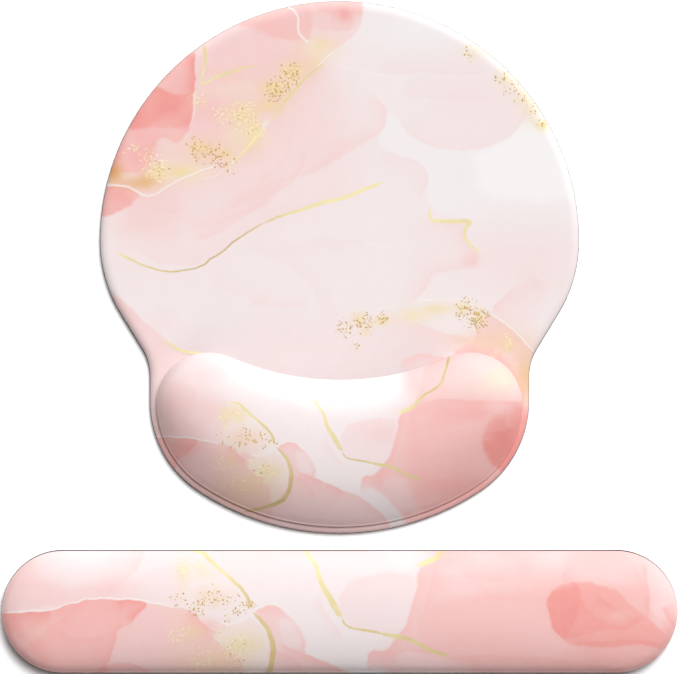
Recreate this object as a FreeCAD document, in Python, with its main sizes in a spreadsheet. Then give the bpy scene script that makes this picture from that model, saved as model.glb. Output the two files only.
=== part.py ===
import FreeCAD, Part

import math
import os

import Sketcher

# A two-piece desk set with memory-foam wrist rests:
#   - a round mouse pad that narrows to a neck, with a saddle-shaped wrist
#     cushion bonded onto its front end;
#   - a long keyboard wrist rest with half-round ends.
# Row frame: origin at the middle of the set's footprint on the desk, +X to
# the user's right, +Y away from the user, +Z up. Millimetres.

# Driving dimensions. Each name is also the alias of its spreadsheet cell.
SIZES = {
    # Mouse pad outline: a chain of tangent arcs about the centre line.
    "pad_length": 346.5,
    "crown_radius": 156.0,
    "flank_length": 27.4,
    "neck_radius": 34.0,
    "neck_width": 247.0,
    "side_length": 16.3,
    "corner_radius": 70.0,
    "front_radius": 167.0,
    # Layers of the mouse pad.
    "pad_base_thickness": 1.2,
    "pad_foam_thickness": 3.8,
    "pad_rim_radius": 3.6,
    # Wrist cushion on the mouse pad.
    "cushion_lip": 4.5,
    "cushion_height": 19.0,
    "cushion_edge_radius": 11.0,
    "lobe_radius": 34.0,
    "lobe_offset": 2.1,
    "saddle_radius": 178.0,
    # Keyboard wrist rest.
    "rest_width": 440.0,
    "rest_depth": 80.0,
    "rest_height": 20.0,
    "rest_base_thickness": 1.5,
    "rest_edge_radius": 15.0,
    # Shared by both pieces of the set.
    "cover_thickness": 0.8,
    "glue_thickness": 0.2,
    "set_gap": 10.7,
}

# Heights and places worked out from the driving dimensions, as expressions.
PAD_GLUE_LEVEL = "sizes.pad_base_thickness"
PAD_FOAM_LEVEL = PAD_GLUE_LEVEL + " + sizes.glue_thickness"
PAD_COVER_HEIGHT = "sizes.glue_thickness + sizes.pad_foam_thickness + sizes.cover_thickness"
PAD_TOP_LEVEL = PAD_GLUE_LEVEL + " + " + PAD_COVER_HEIGHT
CUSHION_CORE_LEVEL = PAD_TOP_LEVEL + " + sizes.glue_thickness"
CUSHION_CORE_HEIGHT = "sizes.cushion_height - sizes.glue_thickness - sizes.cover_thickness"
REST_GLUE_LEVEL = "sizes.rest_base_thickness"
REST_CORE_LEVEL = REST_GLUE_LEVEL + " + sizes.glue_thickness"
REST_COVER_HEIGHT = "sizes.rest_height - sizes.rest_base_thickness"
REST_CORE_HEIGHT = REST_COVER_HEIGHT + " - sizes.glue_thickness - sizes.cover_thickness"
SET_DEPTH = "sizes.pad_length + sizes.set_gap + sizes.rest_depth"
CROWN_CENTRE_Y = "(" + SET_DEPTH + ") / 2 - sizes.crown_radius"
REST_CENTRE_Y = "sizes.rest_depth / 2 - (" + SET_DEPTH + ") / 2"

PARTS_FOLDER = "parts"
LEVEL_TOLERANCE = 1e-4
EDGE_START = 1
EDGE_END = 2
CENTRE = 3
SKETCH_ORIGIN = (-1, 1)
X_AXIS = -1
Y_AXIS = -2

document = FreeCAD.newDocument("wrist_rest_set")


def make_sheet():
    """Put every driving dimension into its own spreadsheet cell with an alias."""
    sheet = document.addObject("Spreadsheet::Sheet", "sizes")
    for row, (alias, value) in enumerate(SIZES.items(), start=1):
        sheet.set("A%d" % row, alias)
        sheet.set("B%d" % row, str(value))
        sheet.setAlias("B%d" % row, alias)
    document.recompute()
    return sheet


sizes = make_sheet()


def size(alias):
    """A driving dimension as a number, read from the sheet."""
    return float(sizes.get(alias))


def arc(x, y, radius, start, end):
    """An arc from its centre, radius, and start and end angles in radians."""
    circle = Part.Circle(FreeCAD.Vector(x, y, 0), FreeCAD.Vector(0, 0, 1), radius)
    return Part.ArcOfCircle(circle, start, end)


def line(x1, y1, x2, y2):
    """A straight segment between two points of the sketch plane."""
    return Part.LineSegment(FreeCAD.Vector(x1, y1, 0), FreeCAD.Vector(x2, y2, 0))


def new_body(label, centre_y):
    """A body of its own, placed along Y by an expression."""
    body = document.addObject("PartDesign::Body", label)
    body.Label = label
    body.setExpression("Placement.Base.y", centre_y)
    return body


def new_sketch(body, level):
    """A sketch on the body's own XY plane, lifted to a level."""
    sketch = body.newObject("Sketcher::SketchObject", body.Name + "_outline")
    planes = body.Origin.OriginFeatures
    plane = [item for item in planes if item.Role == "XY_Plane"][0]
    sketch.AttachmentSupport = (plane, [""])
    sketch.MapMode = "FlatFace"
    sketch.setExpression("AttachmentOffset.Base.z", level)
    return sketch


def bind(sketch, kind, references, number, expression):
    """Add one dimension to a sketch and tie it to the sheet."""
    index = sketch.addConstraint(Sketcher.Constraint(kind, *references, number))
    sketch.setExpression("Constraints[%d]" % index, expression)


def join_tangent(sketch, chain):
    """Make a closed chain of edges tangent, each end to the next start.

    The chain lists (edge, end it is entered by, end it is left by).
    """
    for place, (edge, _, leaving) in enumerate(chain):
        following, entering, _ = chain[(place + 1) % len(chain)]
        rule = Sketcher.Constraint("Tangent", edge, leaving, following, entering)
        sketch.addConstraint(rule)


def front_centre_y():
    """Y of the front arc's centre, measured from the crown's centre."""
    return size("front_radius") + size("crown_radius") - size("pad_length")


def corner_centre_y():
    """Y of the front corner arcs' centres, where they are tangent to the front arc."""
    reach = size("front_radius") - size("corner_radius")
    half_spread = size("neck_width") / 2 - size("corner_radius")
    return front_centre_y() - math.sqrt(reach ** 2 - half_spread ** 2)


def draw_pad_outline(sketch, inset_alias):
    """The mouse pad's outline, offset inwards by a named size or not at all.

    Round the crown, over the left shoulder, into the neck, round the front
    and back up the right side. The sketch's origin is the crown's centre.
    """
    inset = size(inset_alias) if inset_alias else 0.0
    less = " - sizes." + inset_alias if inset_alias else ""
    more = " + sizes." + inset_alias if inset_alias else ""
    crown = size("crown_radius") - inset
    neck = size("neck_radius") + inset
    corner = size("corner_radius") - inset
    front = size("front_radius") - inset
    side = size("neck_width") / 2 - inset
    corner_x = size("neck_width") / 2 - size("corner_radius")
    corner_y = corner_centre_y()
    front_y = front_centre_y()
    neck_x = size("neck_width") / 2 + size("neck_radius")
    neck_y = corner_y + size("side_length")
    # The shoulder's radius follows from the straight flank between it and the neck.
    step_in = size("crown_radius") - size("neck_width") / 2
    run = neck_y ** 2 + step_in ** 2 - size("flank_length") ** 2
    shoulder_full = run / (2 * step_in) - size("neck_radius")
    shoulder = shoulder_full - inset
    shoulder_x = size("crown_radius") - shoulder_full
    # Slope of the straight flank that joins the shoulder to the neck.
    spread = math.hypot(neck_x - shoulder_x, neck_y)
    slope = math.atan2(-neck_y, neck_x - shoulder_x) - math.acos((shoulder + neck) / spread)
    flank_top = (shoulder_x + shoulder * math.cos(slope), -shoulder * math.sin(slope))
    flank_foot = (neck_x - neck * math.cos(slope), neck_y + neck * math.sin(slope))
    turn = math.atan2(front_y - corner_y, corner_x)
    half = math.pi
    full = 2 * math.pi
    edges = [
        arc(0, 0, crown, 0, half),
        arc(-shoulder_x, 0, shoulder, half, half + slope),
        line(-flank_top[0], flank_top[1], -flank_foot[0], flank_foot[1]),
        arc(-neck_x, neck_y, neck, 0, slope),
        line(-side, neck_y, -side, corner_y),
        arc(-corner_x, corner_y, corner, half, half + turn),
        arc(0, front_y, front, half + turn, full - turn),
        arc(corner_x, corner_y, corner, full - turn, full),
        line(side, corner_y, side, neck_y),
        arc(neck_x, neck_y, neck, half - slope, half),
        line(flank_foot[0], flank_foot[1], flank_top[0], flank_top[1]),
        arc(shoulder_x, 0, shoulder, full - slope, full),
    ]
    sketch.addGeometry(edges, False)
    concave = (3, 9)
    chain = [(edge, EDGE_START, EDGE_END) for edge in range(len(edges))]
    for edge in concave:
        chain[edge] = (edge, EDGE_END, EDGE_START)
    join_tangent(sketch, chain)
    sketch.addConstraint(Sketcher.Constraint("Coincident", 0, CENTRE, *SKETCH_ORIGIN))
    bind(sketch, "Radius", (0,), crown, "sizes.crown_radius" + less)
    bind(sketch, "Radius", (6,), front, "sizes.front_radius" + less)
    sketch.addConstraint(Sketcher.Constraint("PointOnObject", 6, CENTRE, Y_AXIS))
    bind(sketch, "DistanceY", (6, CENTRE, *SKETCH_ORIGIN), -front_y,
         "sizes.pad_length - sizes.crown_radius - sizes.front_radius")
    for edge in (1, 11):
        sketch.addConstraint(Sketcher.Constraint("PointOnObject", edge, CENTRE, X_AXIS))
    for edge in (2, 10):
        bind(sketch, "Distance", (edge,), size("flank_length"), "sizes.flank_length")
    for edge in concave:
        bind(sketch, "Radius", (edge,), neck, "sizes.neck_radius" + more)
    for edge in (5, 7):
        bind(sketch, "Radius", (edge,), corner, "sizes.corner_radius" + less)
    for edge in (4, 8):
        sketch.addConstraint(Sketcher.Constraint("Vertical", edge))
        bind(sketch, "Distance", (edge,), size("side_length"), "sizes.side_length")
    side_expression = "sizes.neck_width / 2" + less
    bind(sketch, "DistanceX", (4, EDGE_START, *SKETCH_ORIGIN), side, side_expression)
    bind(sketch, "DistanceX", (*SKETCH_ORIGIN, 8, EDGE_START), side, side_expression)


def draw_cushion_outline(sketch, inset_aliases):
    """The wrist cushion's outline, offset inwards by the named sizes.

    A saddle at the back between two lobes, and a front that runs parallel to
    the pad's own front edge. The sketch's origin is the crown's centre.
    """
    inset = sum(size(alias) for alias in inset_aliases)
    less = "".join(" - sizes." + alias for alias in inset_aliases)
    added = "".join(" + sizes." + alias for alias in inset_aliases)
    lip = size("cushion_lip") + inset
    lobe = size("lobe_radius") - inset
    saddle = size("saddle_radius") + inset
    corner = size("corner_radius") - lip
    front = size("front_radius") - lip
    corner_x = size("neck_width") / 2 - size("corner_radius")
    corner_y = corner_centre_y()
    front_y = front_centre_y()
    lobe_y = corner_y - size("lobe_offset")
    reach = corner - lobe
    lobe_x = corner_x + math.sqrt(reach ** 2 - (lobe_y - corner_y) ** 2)
    saddle_y = lobe_y + math.sqrt((saddle + lobe) ** 2 - lobe_x ** 2)
    rise = math.asin((lobe_y - corner_y) / reach)
    lean = math.atan2(lobe_x, saddle_y - lobe_y)
    turn = math.atan2(front_y - corner_y, corner_x)
    half = math.pi
    full = 2 * math.pi
    edges = [
        arc(0, saddle_y, saddle, 1.5 * half - lean, 1.5 * half + lean),
        arc(-lobe_x, lobe_y, lobe, half / 2 - lean, half - rise),
        arc(-corner_x, corner_y, corner, half - rise, half + turn),
        arc(0, front_y, front, half + turn, full - turn),
        arc(corner_x, corner_y, corner, full - turn, full + rise),
        arc(lobe_x, lobe_y, lobe, rise, half / 2 + lean),
    ]
    sketch.addGeometry(edges, False)
    chain = [(edge, EDGE_START, EDGE_END) for edge in range(len(edges))]
    chain[0] = (0, EDGE_END, EDGE_START)
    join_tangent(sketch, chain)
    bind(sketch, "Radius", (0,), saddle, "sizes.saddle_radius" + added)
    bind(sketch, "Radius", (3,), front, "sizes.front_radius - sizes.cushion_lip" + less)
    sketch.addConstraint(Sketcher.Constraint("PointOnObject", 3, CENTRE, Y_AXIS))
    bind(sketch, "DistanceY", (3, CENTRE, *SKETCH_ORIGIN), -front_y,
         "sizes.pad_length - sizes.crown_radius - sizes.front_radius")
    for edge in (1, 5):
        bind(sketch, "Radius", (edge,), lobe, "sizes.lobe_radius" + less)
    for edge in (2, 4):
        bind(sketch, "Radius", (edge,), corner, "sizes.corner_radius - sizes.cushion_lip" + less)
    for lobe_edge, corner_edge in ((1, 2), (5, 4)):
        bind(sketch, "DistanceY", (lobe_edge, CENTRE, corner_edge, CENTRE),
             size("lobe_offset"), "sizes.lobe_offset")
    spread_expression = "sizes.neck_width / 2 - sizes.corner_radius"
    bind(sketch, "DistanceX", (2, CENTRE, *SKETCH_ORIGIN), corner_x, spread_expression)
    bind(sketch, "DistanceX", (*SKETCH_ORIGIN, 4, CENTRE), corner_x, spread_expression)


def draw_rest_outline(sketch, inset_alias):
    """The keyboard rest's outline: two half-round ends joined by straight sides."""
    inset = size(inset_alias) if inset_alias else 0.0
    less = " - sizes." + inset_alias if inset_alias else ""
    radius = size("rest_depth") / 2 - inset
    end_x = (size("rest_width") - size("rest_depth")) / 2
    half = math.pi
    edges = [
        arc(end_x, 0, radius, -half / 2, half / 2),
        line(end_x, radius, -end_x, radius),
        arc(-end_x, 0, radius, half / 2, 1.5 * half),
        line(-end_x, -radius, end_x, -radius),
    ]
    sketch.addGeometry(edges, False)
    join_tangent(sketch, [(edge, EDGE_START, EDGE_END) for edge in range(len(edges))])
    bind(sketch, "Radius", (0,), radius, "sizes.rest_depth / 2" + less)
    end_expression = "(sizes.rest_width - sizes.rest_depth) / 2"
    for edge in (0, 2):
        sketch.addConstraint(Sketcher.Constraint("PointOnObject", edge, CENTRE, X_AXIS))
    bind(sketch, "DistanceX", (*SKETCH_ORIGIN, 0, CENTRE), end_x, end_expression)
    bind(sketch, "DistanceX", (2, CENTRE, *SKETCH_ORIGIN), end_x, end_expression)


def pad_up(body, sketch, height):
    """Extrude a sketch upwards by an expression."""
    pad = body.newObject("PartDesign::Pad", body.Name + "_block")
    pad.Profile = sketch
    pad.setExpression("Length", height)
    sketch.Visibility = False
    document.recompute()
    return pad


def names_at_level(shape, kind, level):
    """Names of the edges or faces that lie flat at one height."""
    found = []
    for number, item in enumerate(getattr(shape, kind + "s"), start=1):
        box = item.BoundBox
        low = abs(box.ZMin - level) < LEVEL_TOLERANCE
        high = abs(box.ZMax - level) < LEVEL_TOLERANCE
        if low and high:
            found.append("%s%d" % (kind, number))
    return found


def round_top(body, radius):
    """Round the whole top edge of the body's latest feature."""
    base = body.Tip
    fillet = body.newObject("PartDesign::Fillet", body.Name + "_rim")
    top = base.Shape.BoundBox.ZMax
    fillet.Base = (base, names_at_level(base.Shape, "Edge", top))
    fillet.setExpression("Radius", radius)
    document.recompute()
    return fillet


def hollow_from_below(body):
    """Leave a skin of the cover's thickness, open at the bottom."""
    base = body.Tip
    shell = body.newObject("PartDesign::Thickness", body.Name + "_skin")
    bottom = base.Shape.BoundBox.ZMin
    shell.Base = (base, names_at_level(base.Shape, "Face", bottom))
    shell.setExpression("Value", "sizes.cover_thickness")
    shell.Reversed = True
    document.recompute()
    return shell


def make_pad_base():
    """Non-slip rubber sheet under the mouse pad, cut to the full outline."""
    body = new_body("pad_base", CROWN_CENTRE_Y)
    sketch = new_sketch(body, "0 mm")
    draw_pad_outline(sketch, None)
    pad_up(body, sketch, "sizes.pad_base_thickness")
    return body


def make_pad_glue():
    """Hot-melt film between the rubber sheet and the pad's foam."""
    body = new_body("pad_glue_film", CROWN_CENTRE_Y)
    sketch = new_sketch(body, PAD_GLUE_LEVEL)
    draw_pad_outline(sketch, "cover_thickness")
    pad_up(body, sketch, "sizes.glue_thickness")
    return body


def make_pad_foam():
    """Thin foam sheet of the mouse pad, its top edge rounded."""
    body = new_body("pad_foam", CROWN_CENTRE_Y)
    sketch = new_sketch(body, PAD_FOAM_LEVEL)
    draw_pad_outline(sketch, "cover_thickness")
    pad_up(body, sketch, "sizes.pad_foam_thickness")
    round_top(body, "sizes.pad_rim_radius - sizes.cover_thickness")
    return body


def make_pad_cover():
    """Printed fabric over the pad's foam, pressed down to the rubber at the rim."""
    body = new_body("pad_cover", CROWN_CENTRE_Y)
    sketch = new_sketch(body, PAD_GLUE_LEVEL)
    draw_pad_outline(sketch, None)
    pad_up(body, sketch, PAD_COVER_HEIGHT)
    round_top(body, "sizes.pad_rim_radius")
    hollow_from_below(body)
    return body


def make_cushion_glue():
    """Hot-melt film that bonds the wrist cushion onto the pad's cover."""
    body = new_body("cushion_glue_film", CROWN_CENTRE_Y)
    sketch = new_sketch(body, PAD_TOP_LEVEL)
    draw_cushion_outline(sketch, ["cover_thickness"])
    pad_up(body, sketch, "sizes.glue_thickness")
    return body


def make_cushion_core():
    """Memory-foam block of the mouse pad's wrist cushion."""
    body = new_body("cushion_core", CROWN_CENTRE_Y)
    sketch = new_sketch(body, CUSHION_CORE_LEVEL)
    draw_cushion_outline(sketch, ["cover_thickness"])
    pad_up(body, sketch, CUSHION_CORE_HEIGHT)
    round_top(body, "sizes.cushion_edge_radius - sizes.cover_thickness")
    return body


def make_cushion_cover():
    """Printed stretch fabric over the wrist cushion's foam."""
    body = new_body("cushion_cover", CROWN_CENTRE_Y)
    sketch = new_sketch(body, PAD_TOP_LEVEL)
    draw_cushion_outline(sketch, [])
    pad_up(body, sketch, "sizes.cushion_height")
    round_top(body, "sizes.cushion_edge_radius")
    hollow_from_below(body)
    return body


def make_rest_base():
    """Non-slip rubber sheet under the keyboard rest."""
    body = new_body("rest_base", REST_CENTRE_Y)
    sketch = new_sketch(body, "0 mm")
    draw_rest_outline(sketch, None)
    pad_up(body, sketch, "sizes.rest_base_thickness")
    return body


def make_rest_glue():
    """Hot-melt film between the rubber sheet and the keyboard rest's foam."""
    body = new_body("rest_glue_film", REST_CENTRE_Y)
    sketch = new_sketch(body, REST_GLUE_LEVEL)
    draw_rest_outline(sketch, "cover_thickness")
    pad_up(body, sketch, "sizes.glue_thickness")
    return body


def make_rest_core():
    """Memory-foam block of the keyboard rest."""
    body = new_body("rest_core", REST_CENTRE_Y)
    sketch = new_sketch(body, REST_CORE_LEVEL)
    draw_rest_outline(sketch, "cover_thickness")
    pad_up(body, sketch, REST_CORE_HEIGHT)
    round_top(body, "sizes.rest_edge_radius - sizes.cover_thickness")
    return body


def make_rest_cover():
    """Printed stretch fabric over the keyboard rest's foam."""
    body = new_body("rest_cover", REST_CENTRE_Y)
    sketch = new_sketch(body, REST_GLUE_LEVEL)
    draw_rest_outline(sketch, None)
    pad_up(body, sketch, REST_COVER_HEIGHT)
    round_top(body, "sizes.rest_edge_radius")
    hollow_from_below(body)
    return body


def check_document():
    """Stop if any object of the document failed to compute."""
    for item in document.Objects:
        for fault in ("Invalid", "Error"):
            if fault in item.State:
                raise RuntimeError("%s is %s" % (item.Label, fault))


def check_shape(body):
    """Stop if a sub-part is empty, broken or not one solid."""
    shape = body.Shape
    if shape.isNull() or not shape.isValid():
        raise RuntimeError("%s has no valid shape" % body.Label)
    if len(shape.Solids) != 1:
        raise RuntimeError("%s is not one solid" % body.Label)


def check_skin(cover, contents):
    """Stop unless a hollowed cover holds its contents and fills no space twice."""
    for body in contents:
        shared = cover.Shape.common(body.Shape).Volume
        if shared > LEVEL_TOLERANCE * body.Shape.Volume:
            raise RuntimeError("%s cuts into %s" % (cover.Label, body.Label))
    if cover.Shape.Volume > sum(body.Shape.Volume for body in contents):
        raise RuntimeError("%s was not hollowed" % cover.Label)


def main():
    pad_base = make_pad_base()
    pad_glue = make_pad_glue()
    pad_foam = make_pad_foam()
    pad_cover = make_pad_cover()
    cushion_glue = make_cushion_glue()
    cushion_core = make_cushion_core()
    cushion_cover = make_cushion_cover()
    rest_base = make_rest_base()
    rest_glue = make_rest_glue()
    rest_core = make_rest_core()
    rest_cover = make_rest_cover()
    document.recompute()
    bodies = [
        pad_base, pad_glue, pad_foam, pad_cover,
        cushion_glue, cushion_core, cushion_cover,
        rest_base, rest_glue, rest_core, rest_cover,
    ]
    check_document()
    for body in bodies:
        check_shape(body)
    check_skin(pad_cover, [pad_glue, pad_foam])
    check_skin(cushion_cover, [cushion_glue, cushion_core])
    check_skin(rest_cover, [rest_glue, rest_core])
    os.makedirs(PARTS_FOLDER, exist_ok=True)
    for body in bodies:
        body.Shape.exportStep(os.path.join(PARTS_FOLDER, body.Label + ".step"))
        box = body.Shape.optimalBoundingBox(False)
        print("%-18s %10.1f mm3  x %.2f..%.2f  y %.2f..%.2f  z %.2f..%.2f" % (
            body.Label, body.Shape.Volume,
            box.XMin, box.XMax, box.YMin, box.YMax, box.ZMin, box.ZMax))


main()
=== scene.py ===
import math

import bpy
import numpy as np
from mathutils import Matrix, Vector, noise
from mathutils.geometry import delaunay_2d_cdt


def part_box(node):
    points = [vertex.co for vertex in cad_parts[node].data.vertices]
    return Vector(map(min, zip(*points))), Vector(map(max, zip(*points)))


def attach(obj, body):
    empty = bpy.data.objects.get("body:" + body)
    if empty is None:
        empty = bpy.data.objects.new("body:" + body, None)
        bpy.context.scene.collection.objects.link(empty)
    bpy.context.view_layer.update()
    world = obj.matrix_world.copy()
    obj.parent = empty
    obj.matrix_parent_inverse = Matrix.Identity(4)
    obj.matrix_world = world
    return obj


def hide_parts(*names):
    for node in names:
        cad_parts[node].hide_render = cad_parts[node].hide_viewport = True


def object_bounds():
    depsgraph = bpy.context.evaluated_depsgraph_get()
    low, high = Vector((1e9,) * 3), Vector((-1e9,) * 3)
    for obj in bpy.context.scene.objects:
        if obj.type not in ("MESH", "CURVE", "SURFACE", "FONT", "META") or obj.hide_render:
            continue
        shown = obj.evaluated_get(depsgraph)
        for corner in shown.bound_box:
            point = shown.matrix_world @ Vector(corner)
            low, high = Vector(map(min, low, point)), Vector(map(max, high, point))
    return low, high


# A round mouse pad with a raised wrist cushion, and a long keyboard wrist rest,
# both in a watercolour-marble print with gold veins. The CAD sheets give every
# outline; the fabric skins and foam blocks are built here round them.

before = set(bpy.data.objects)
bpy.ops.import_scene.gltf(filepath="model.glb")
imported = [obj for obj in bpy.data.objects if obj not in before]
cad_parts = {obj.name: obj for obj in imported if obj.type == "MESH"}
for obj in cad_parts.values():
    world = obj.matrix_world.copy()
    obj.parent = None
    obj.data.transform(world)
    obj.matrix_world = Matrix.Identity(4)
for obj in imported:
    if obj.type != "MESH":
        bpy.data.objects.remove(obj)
CAD_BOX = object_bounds()
MM = 0.001

PAD_BODY = "mouse_pad"
REST_BODY = "keyboard_rest"

# Seeds the noise that makes drawn edges ragged, so that every run is alike.
PRINT_SEED = 7
noise.seed_set(PRINT_SEED)

# Fabric and foam sizes, in millimetres.
SKIN_THICKNESS = 0.7
EDGE_SHOWING = 0.35
RIM_WIDTH = 6.0
RIM_WIDEST_LEVEL = 2.7
PAD_SPACING = 1.17
PAD_INSIDE_SPACING = 6.0
CUSHION_SPACING = 3.2
REST_SPACING = 4.0
FOAM_SPACING = 4.0
MOST_STRETCH = 3.0
FOAM_SLACK = 2.0


# ---------------------------------------------------------------- print

# Inks of the print, as display colours from 0 to 255.
PAPER = (250, 238, 238)
MILK = (249, 247, 247)
SNOW = (255, 252, 251)
MIST = (250, 231, 231)
BLUSH = (251, 221, 220)
PETAL = (251, 210, 207)
ROSE = (252, 197, 193)
SALMON = (251, 181, 175)
CORAL = (248, 161, 154)
BRICK = (240, 140, 134)
PEACH = (249, 214, 190)
STRAW = (250, 233, 203)
GILT = (248, 224, 160)
OCHRE = (228, 176, 104)
# A grey used only for painted shade on the pad behind the cushion, not an ink of the print.
PAINTED_SHADE = (222, 206, 206)

# How a design is painted, all in millimetres. A wash stains the inside of an
# outline: (ink, strength inside, strength at the edge, how far the edge fades
# inwards, softness of the edge, outline). A bleed is a stain that starts sharply
# at a path and fades out on its left: (ink, strength, reach, path). A bloom is a
# soft round stain: (ink, strength, x, y, half width, half height).
PAD_WASHES = [
    # The milky field at the right and its lobed left edge.
    (MILK, 0.5, 0.6, 10, 1.8, [(66, 80), (58, 86), (57, 96), (58, 104), (54, 112), (44, 117), (30, 119),
        (24, 127), (29, 135), (31, 144), (36, 146), (41, 136), (50, 128), (60, 123.5), (77, 121),
        (94, 122.5), (109, 129.5), (123, 142), (170, 145), (170, 76), (130, 74), (96, 76), (88, 77)]),
    (SNOW, 0.75, 0.7, 10, 9, [(90, 92), (89, 108), (86, 119), (96, 122.5), (109, 129.5), (123, 142),
        (170, 145), (170, 90), (130, 88)]),
    # Rose and coral stains outside the torn edge.
    (BLUSH, 1.0, 1.0, 10, 1.2, [(-3, 186), (-13, 177), (-27, 165), (-38, 150), (-50, 138), (-55, 127),
        (-67, 115.5), (-80, 112), (-93, 107), (-103, 102.5), (-111, 99), (-119, 93), (-126, 91.5),
        (-132, 95), (-138.5, 98.5), (-152, 99), (-190, 120), (-130, 230), (15, 230), (14, 199), (4, 192)]),
    (PETAL, 0.55, 0.6, 10, 12, [(-96, 178), (-60, 200), (-20, 205), (-22, 180), (-45, 150), (-70, 122),
        (-98, 118)]),
    (ROSE, 0.6, 0.8, 6, 1.6, [(-110, 225), (-70, 204), (-50, 200), (-44, 196.5), (-34, 193), (-22, 192),
        (-17, 196), (-17, 225)]),
    (ROSE, 0.8, 1.0, 6, 1.4, [(-95, 186), (-93.5, 170), (-95, 157), (-95.5, 144), (-98.5, 136), (-102, 129),
        (-107, 125), (-114, 131), (-119, 126), (-120, 117), (-126, 106), (-160, 108), (-150, 170),
        (-110, 200)]),
    (SALMON, 0.85, 1.0, 4, 2.2, [(-97, 160), (-97.5, 144), (-100, 136), (-121, 136), (-142, 135),
        (-150, 150), (-122, 166), (-112, 158), (-104, 155)]),
    (CORAL, 0.35, 0.8, 3, 1.6, [(-117, 163), (-111.5, 158), (-105.5, 156), (-104, 150.5), (-112, 146),
        (-120.5, 143), (-122, 136), (-145, 135), (-140, 150), (-125, 165)]),
    (SALMON, 0.75, 0.95, 6, 1.2, [(-132, 95), (-138, 98), (-150, 98), (-165, 95), (-165, 77), (-149, 79),
        (-145, 81.5), (-140, 83.5), (-136, 85.5), (-133.5, 89.5), (-129, 91)]),
    (SALMON, 0.2, 0.6, 4, 2.0, [(-6, 213), (2, 213), (13, 213), (13, 210), (8, 209), (7.5, 200), (3, 198.5),
        (-6, 199)]),
    (PETAL, 0.7, 0.7, 4, 2.5, [(-20, 225), (-20, 199), (14, 199), (15, 225)]),
    (ROSE, 0.5, 0.6, 4, 2.5, [(-17, 225), (-17, 210), (16, 209), (17, 225)]),
    # The neck at the right, outside the white arc.
    (PETAL, 0.7, 0.8, 6, 1.6, [(72, -10), (81, -6), (87, -2.5), (88.5, 4), (91, 9.5), (96, 15), (100, 14.2),
        (109, 8.1), (117.2, 0.9), (123.3, -6.2), (127, -9.8), (136, -20), (136, -60), (100, -50)]),
    (ROSE, 0.8, 1.0, 5, 4.0, [(72, -11), (82, -6.5), (92, -5.5), (103, -9), (112, -18), (119, -30),
        (120, -60), (90, -45)]),
    # The neck at the left.
    (BLUSH, 0.8, 0.9, 10, 3.0, [(-150, 29), (-140, 22.5), (-131, 14.2), (-119.8, 4), (-112.7, -2.6),
        (-104.6, -8.2), (-90.4, -10.2), (-90, -70), (-170, -60)]),
    (MIST, 0.75, 0.2, 8, 4, [(46.2, 9.6), (64, 4.5), (81.7, -1), (74, -10), (60, -18), (30, -30),
        (-10, -32), (0, -10), (20, 0)]),
]

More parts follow.
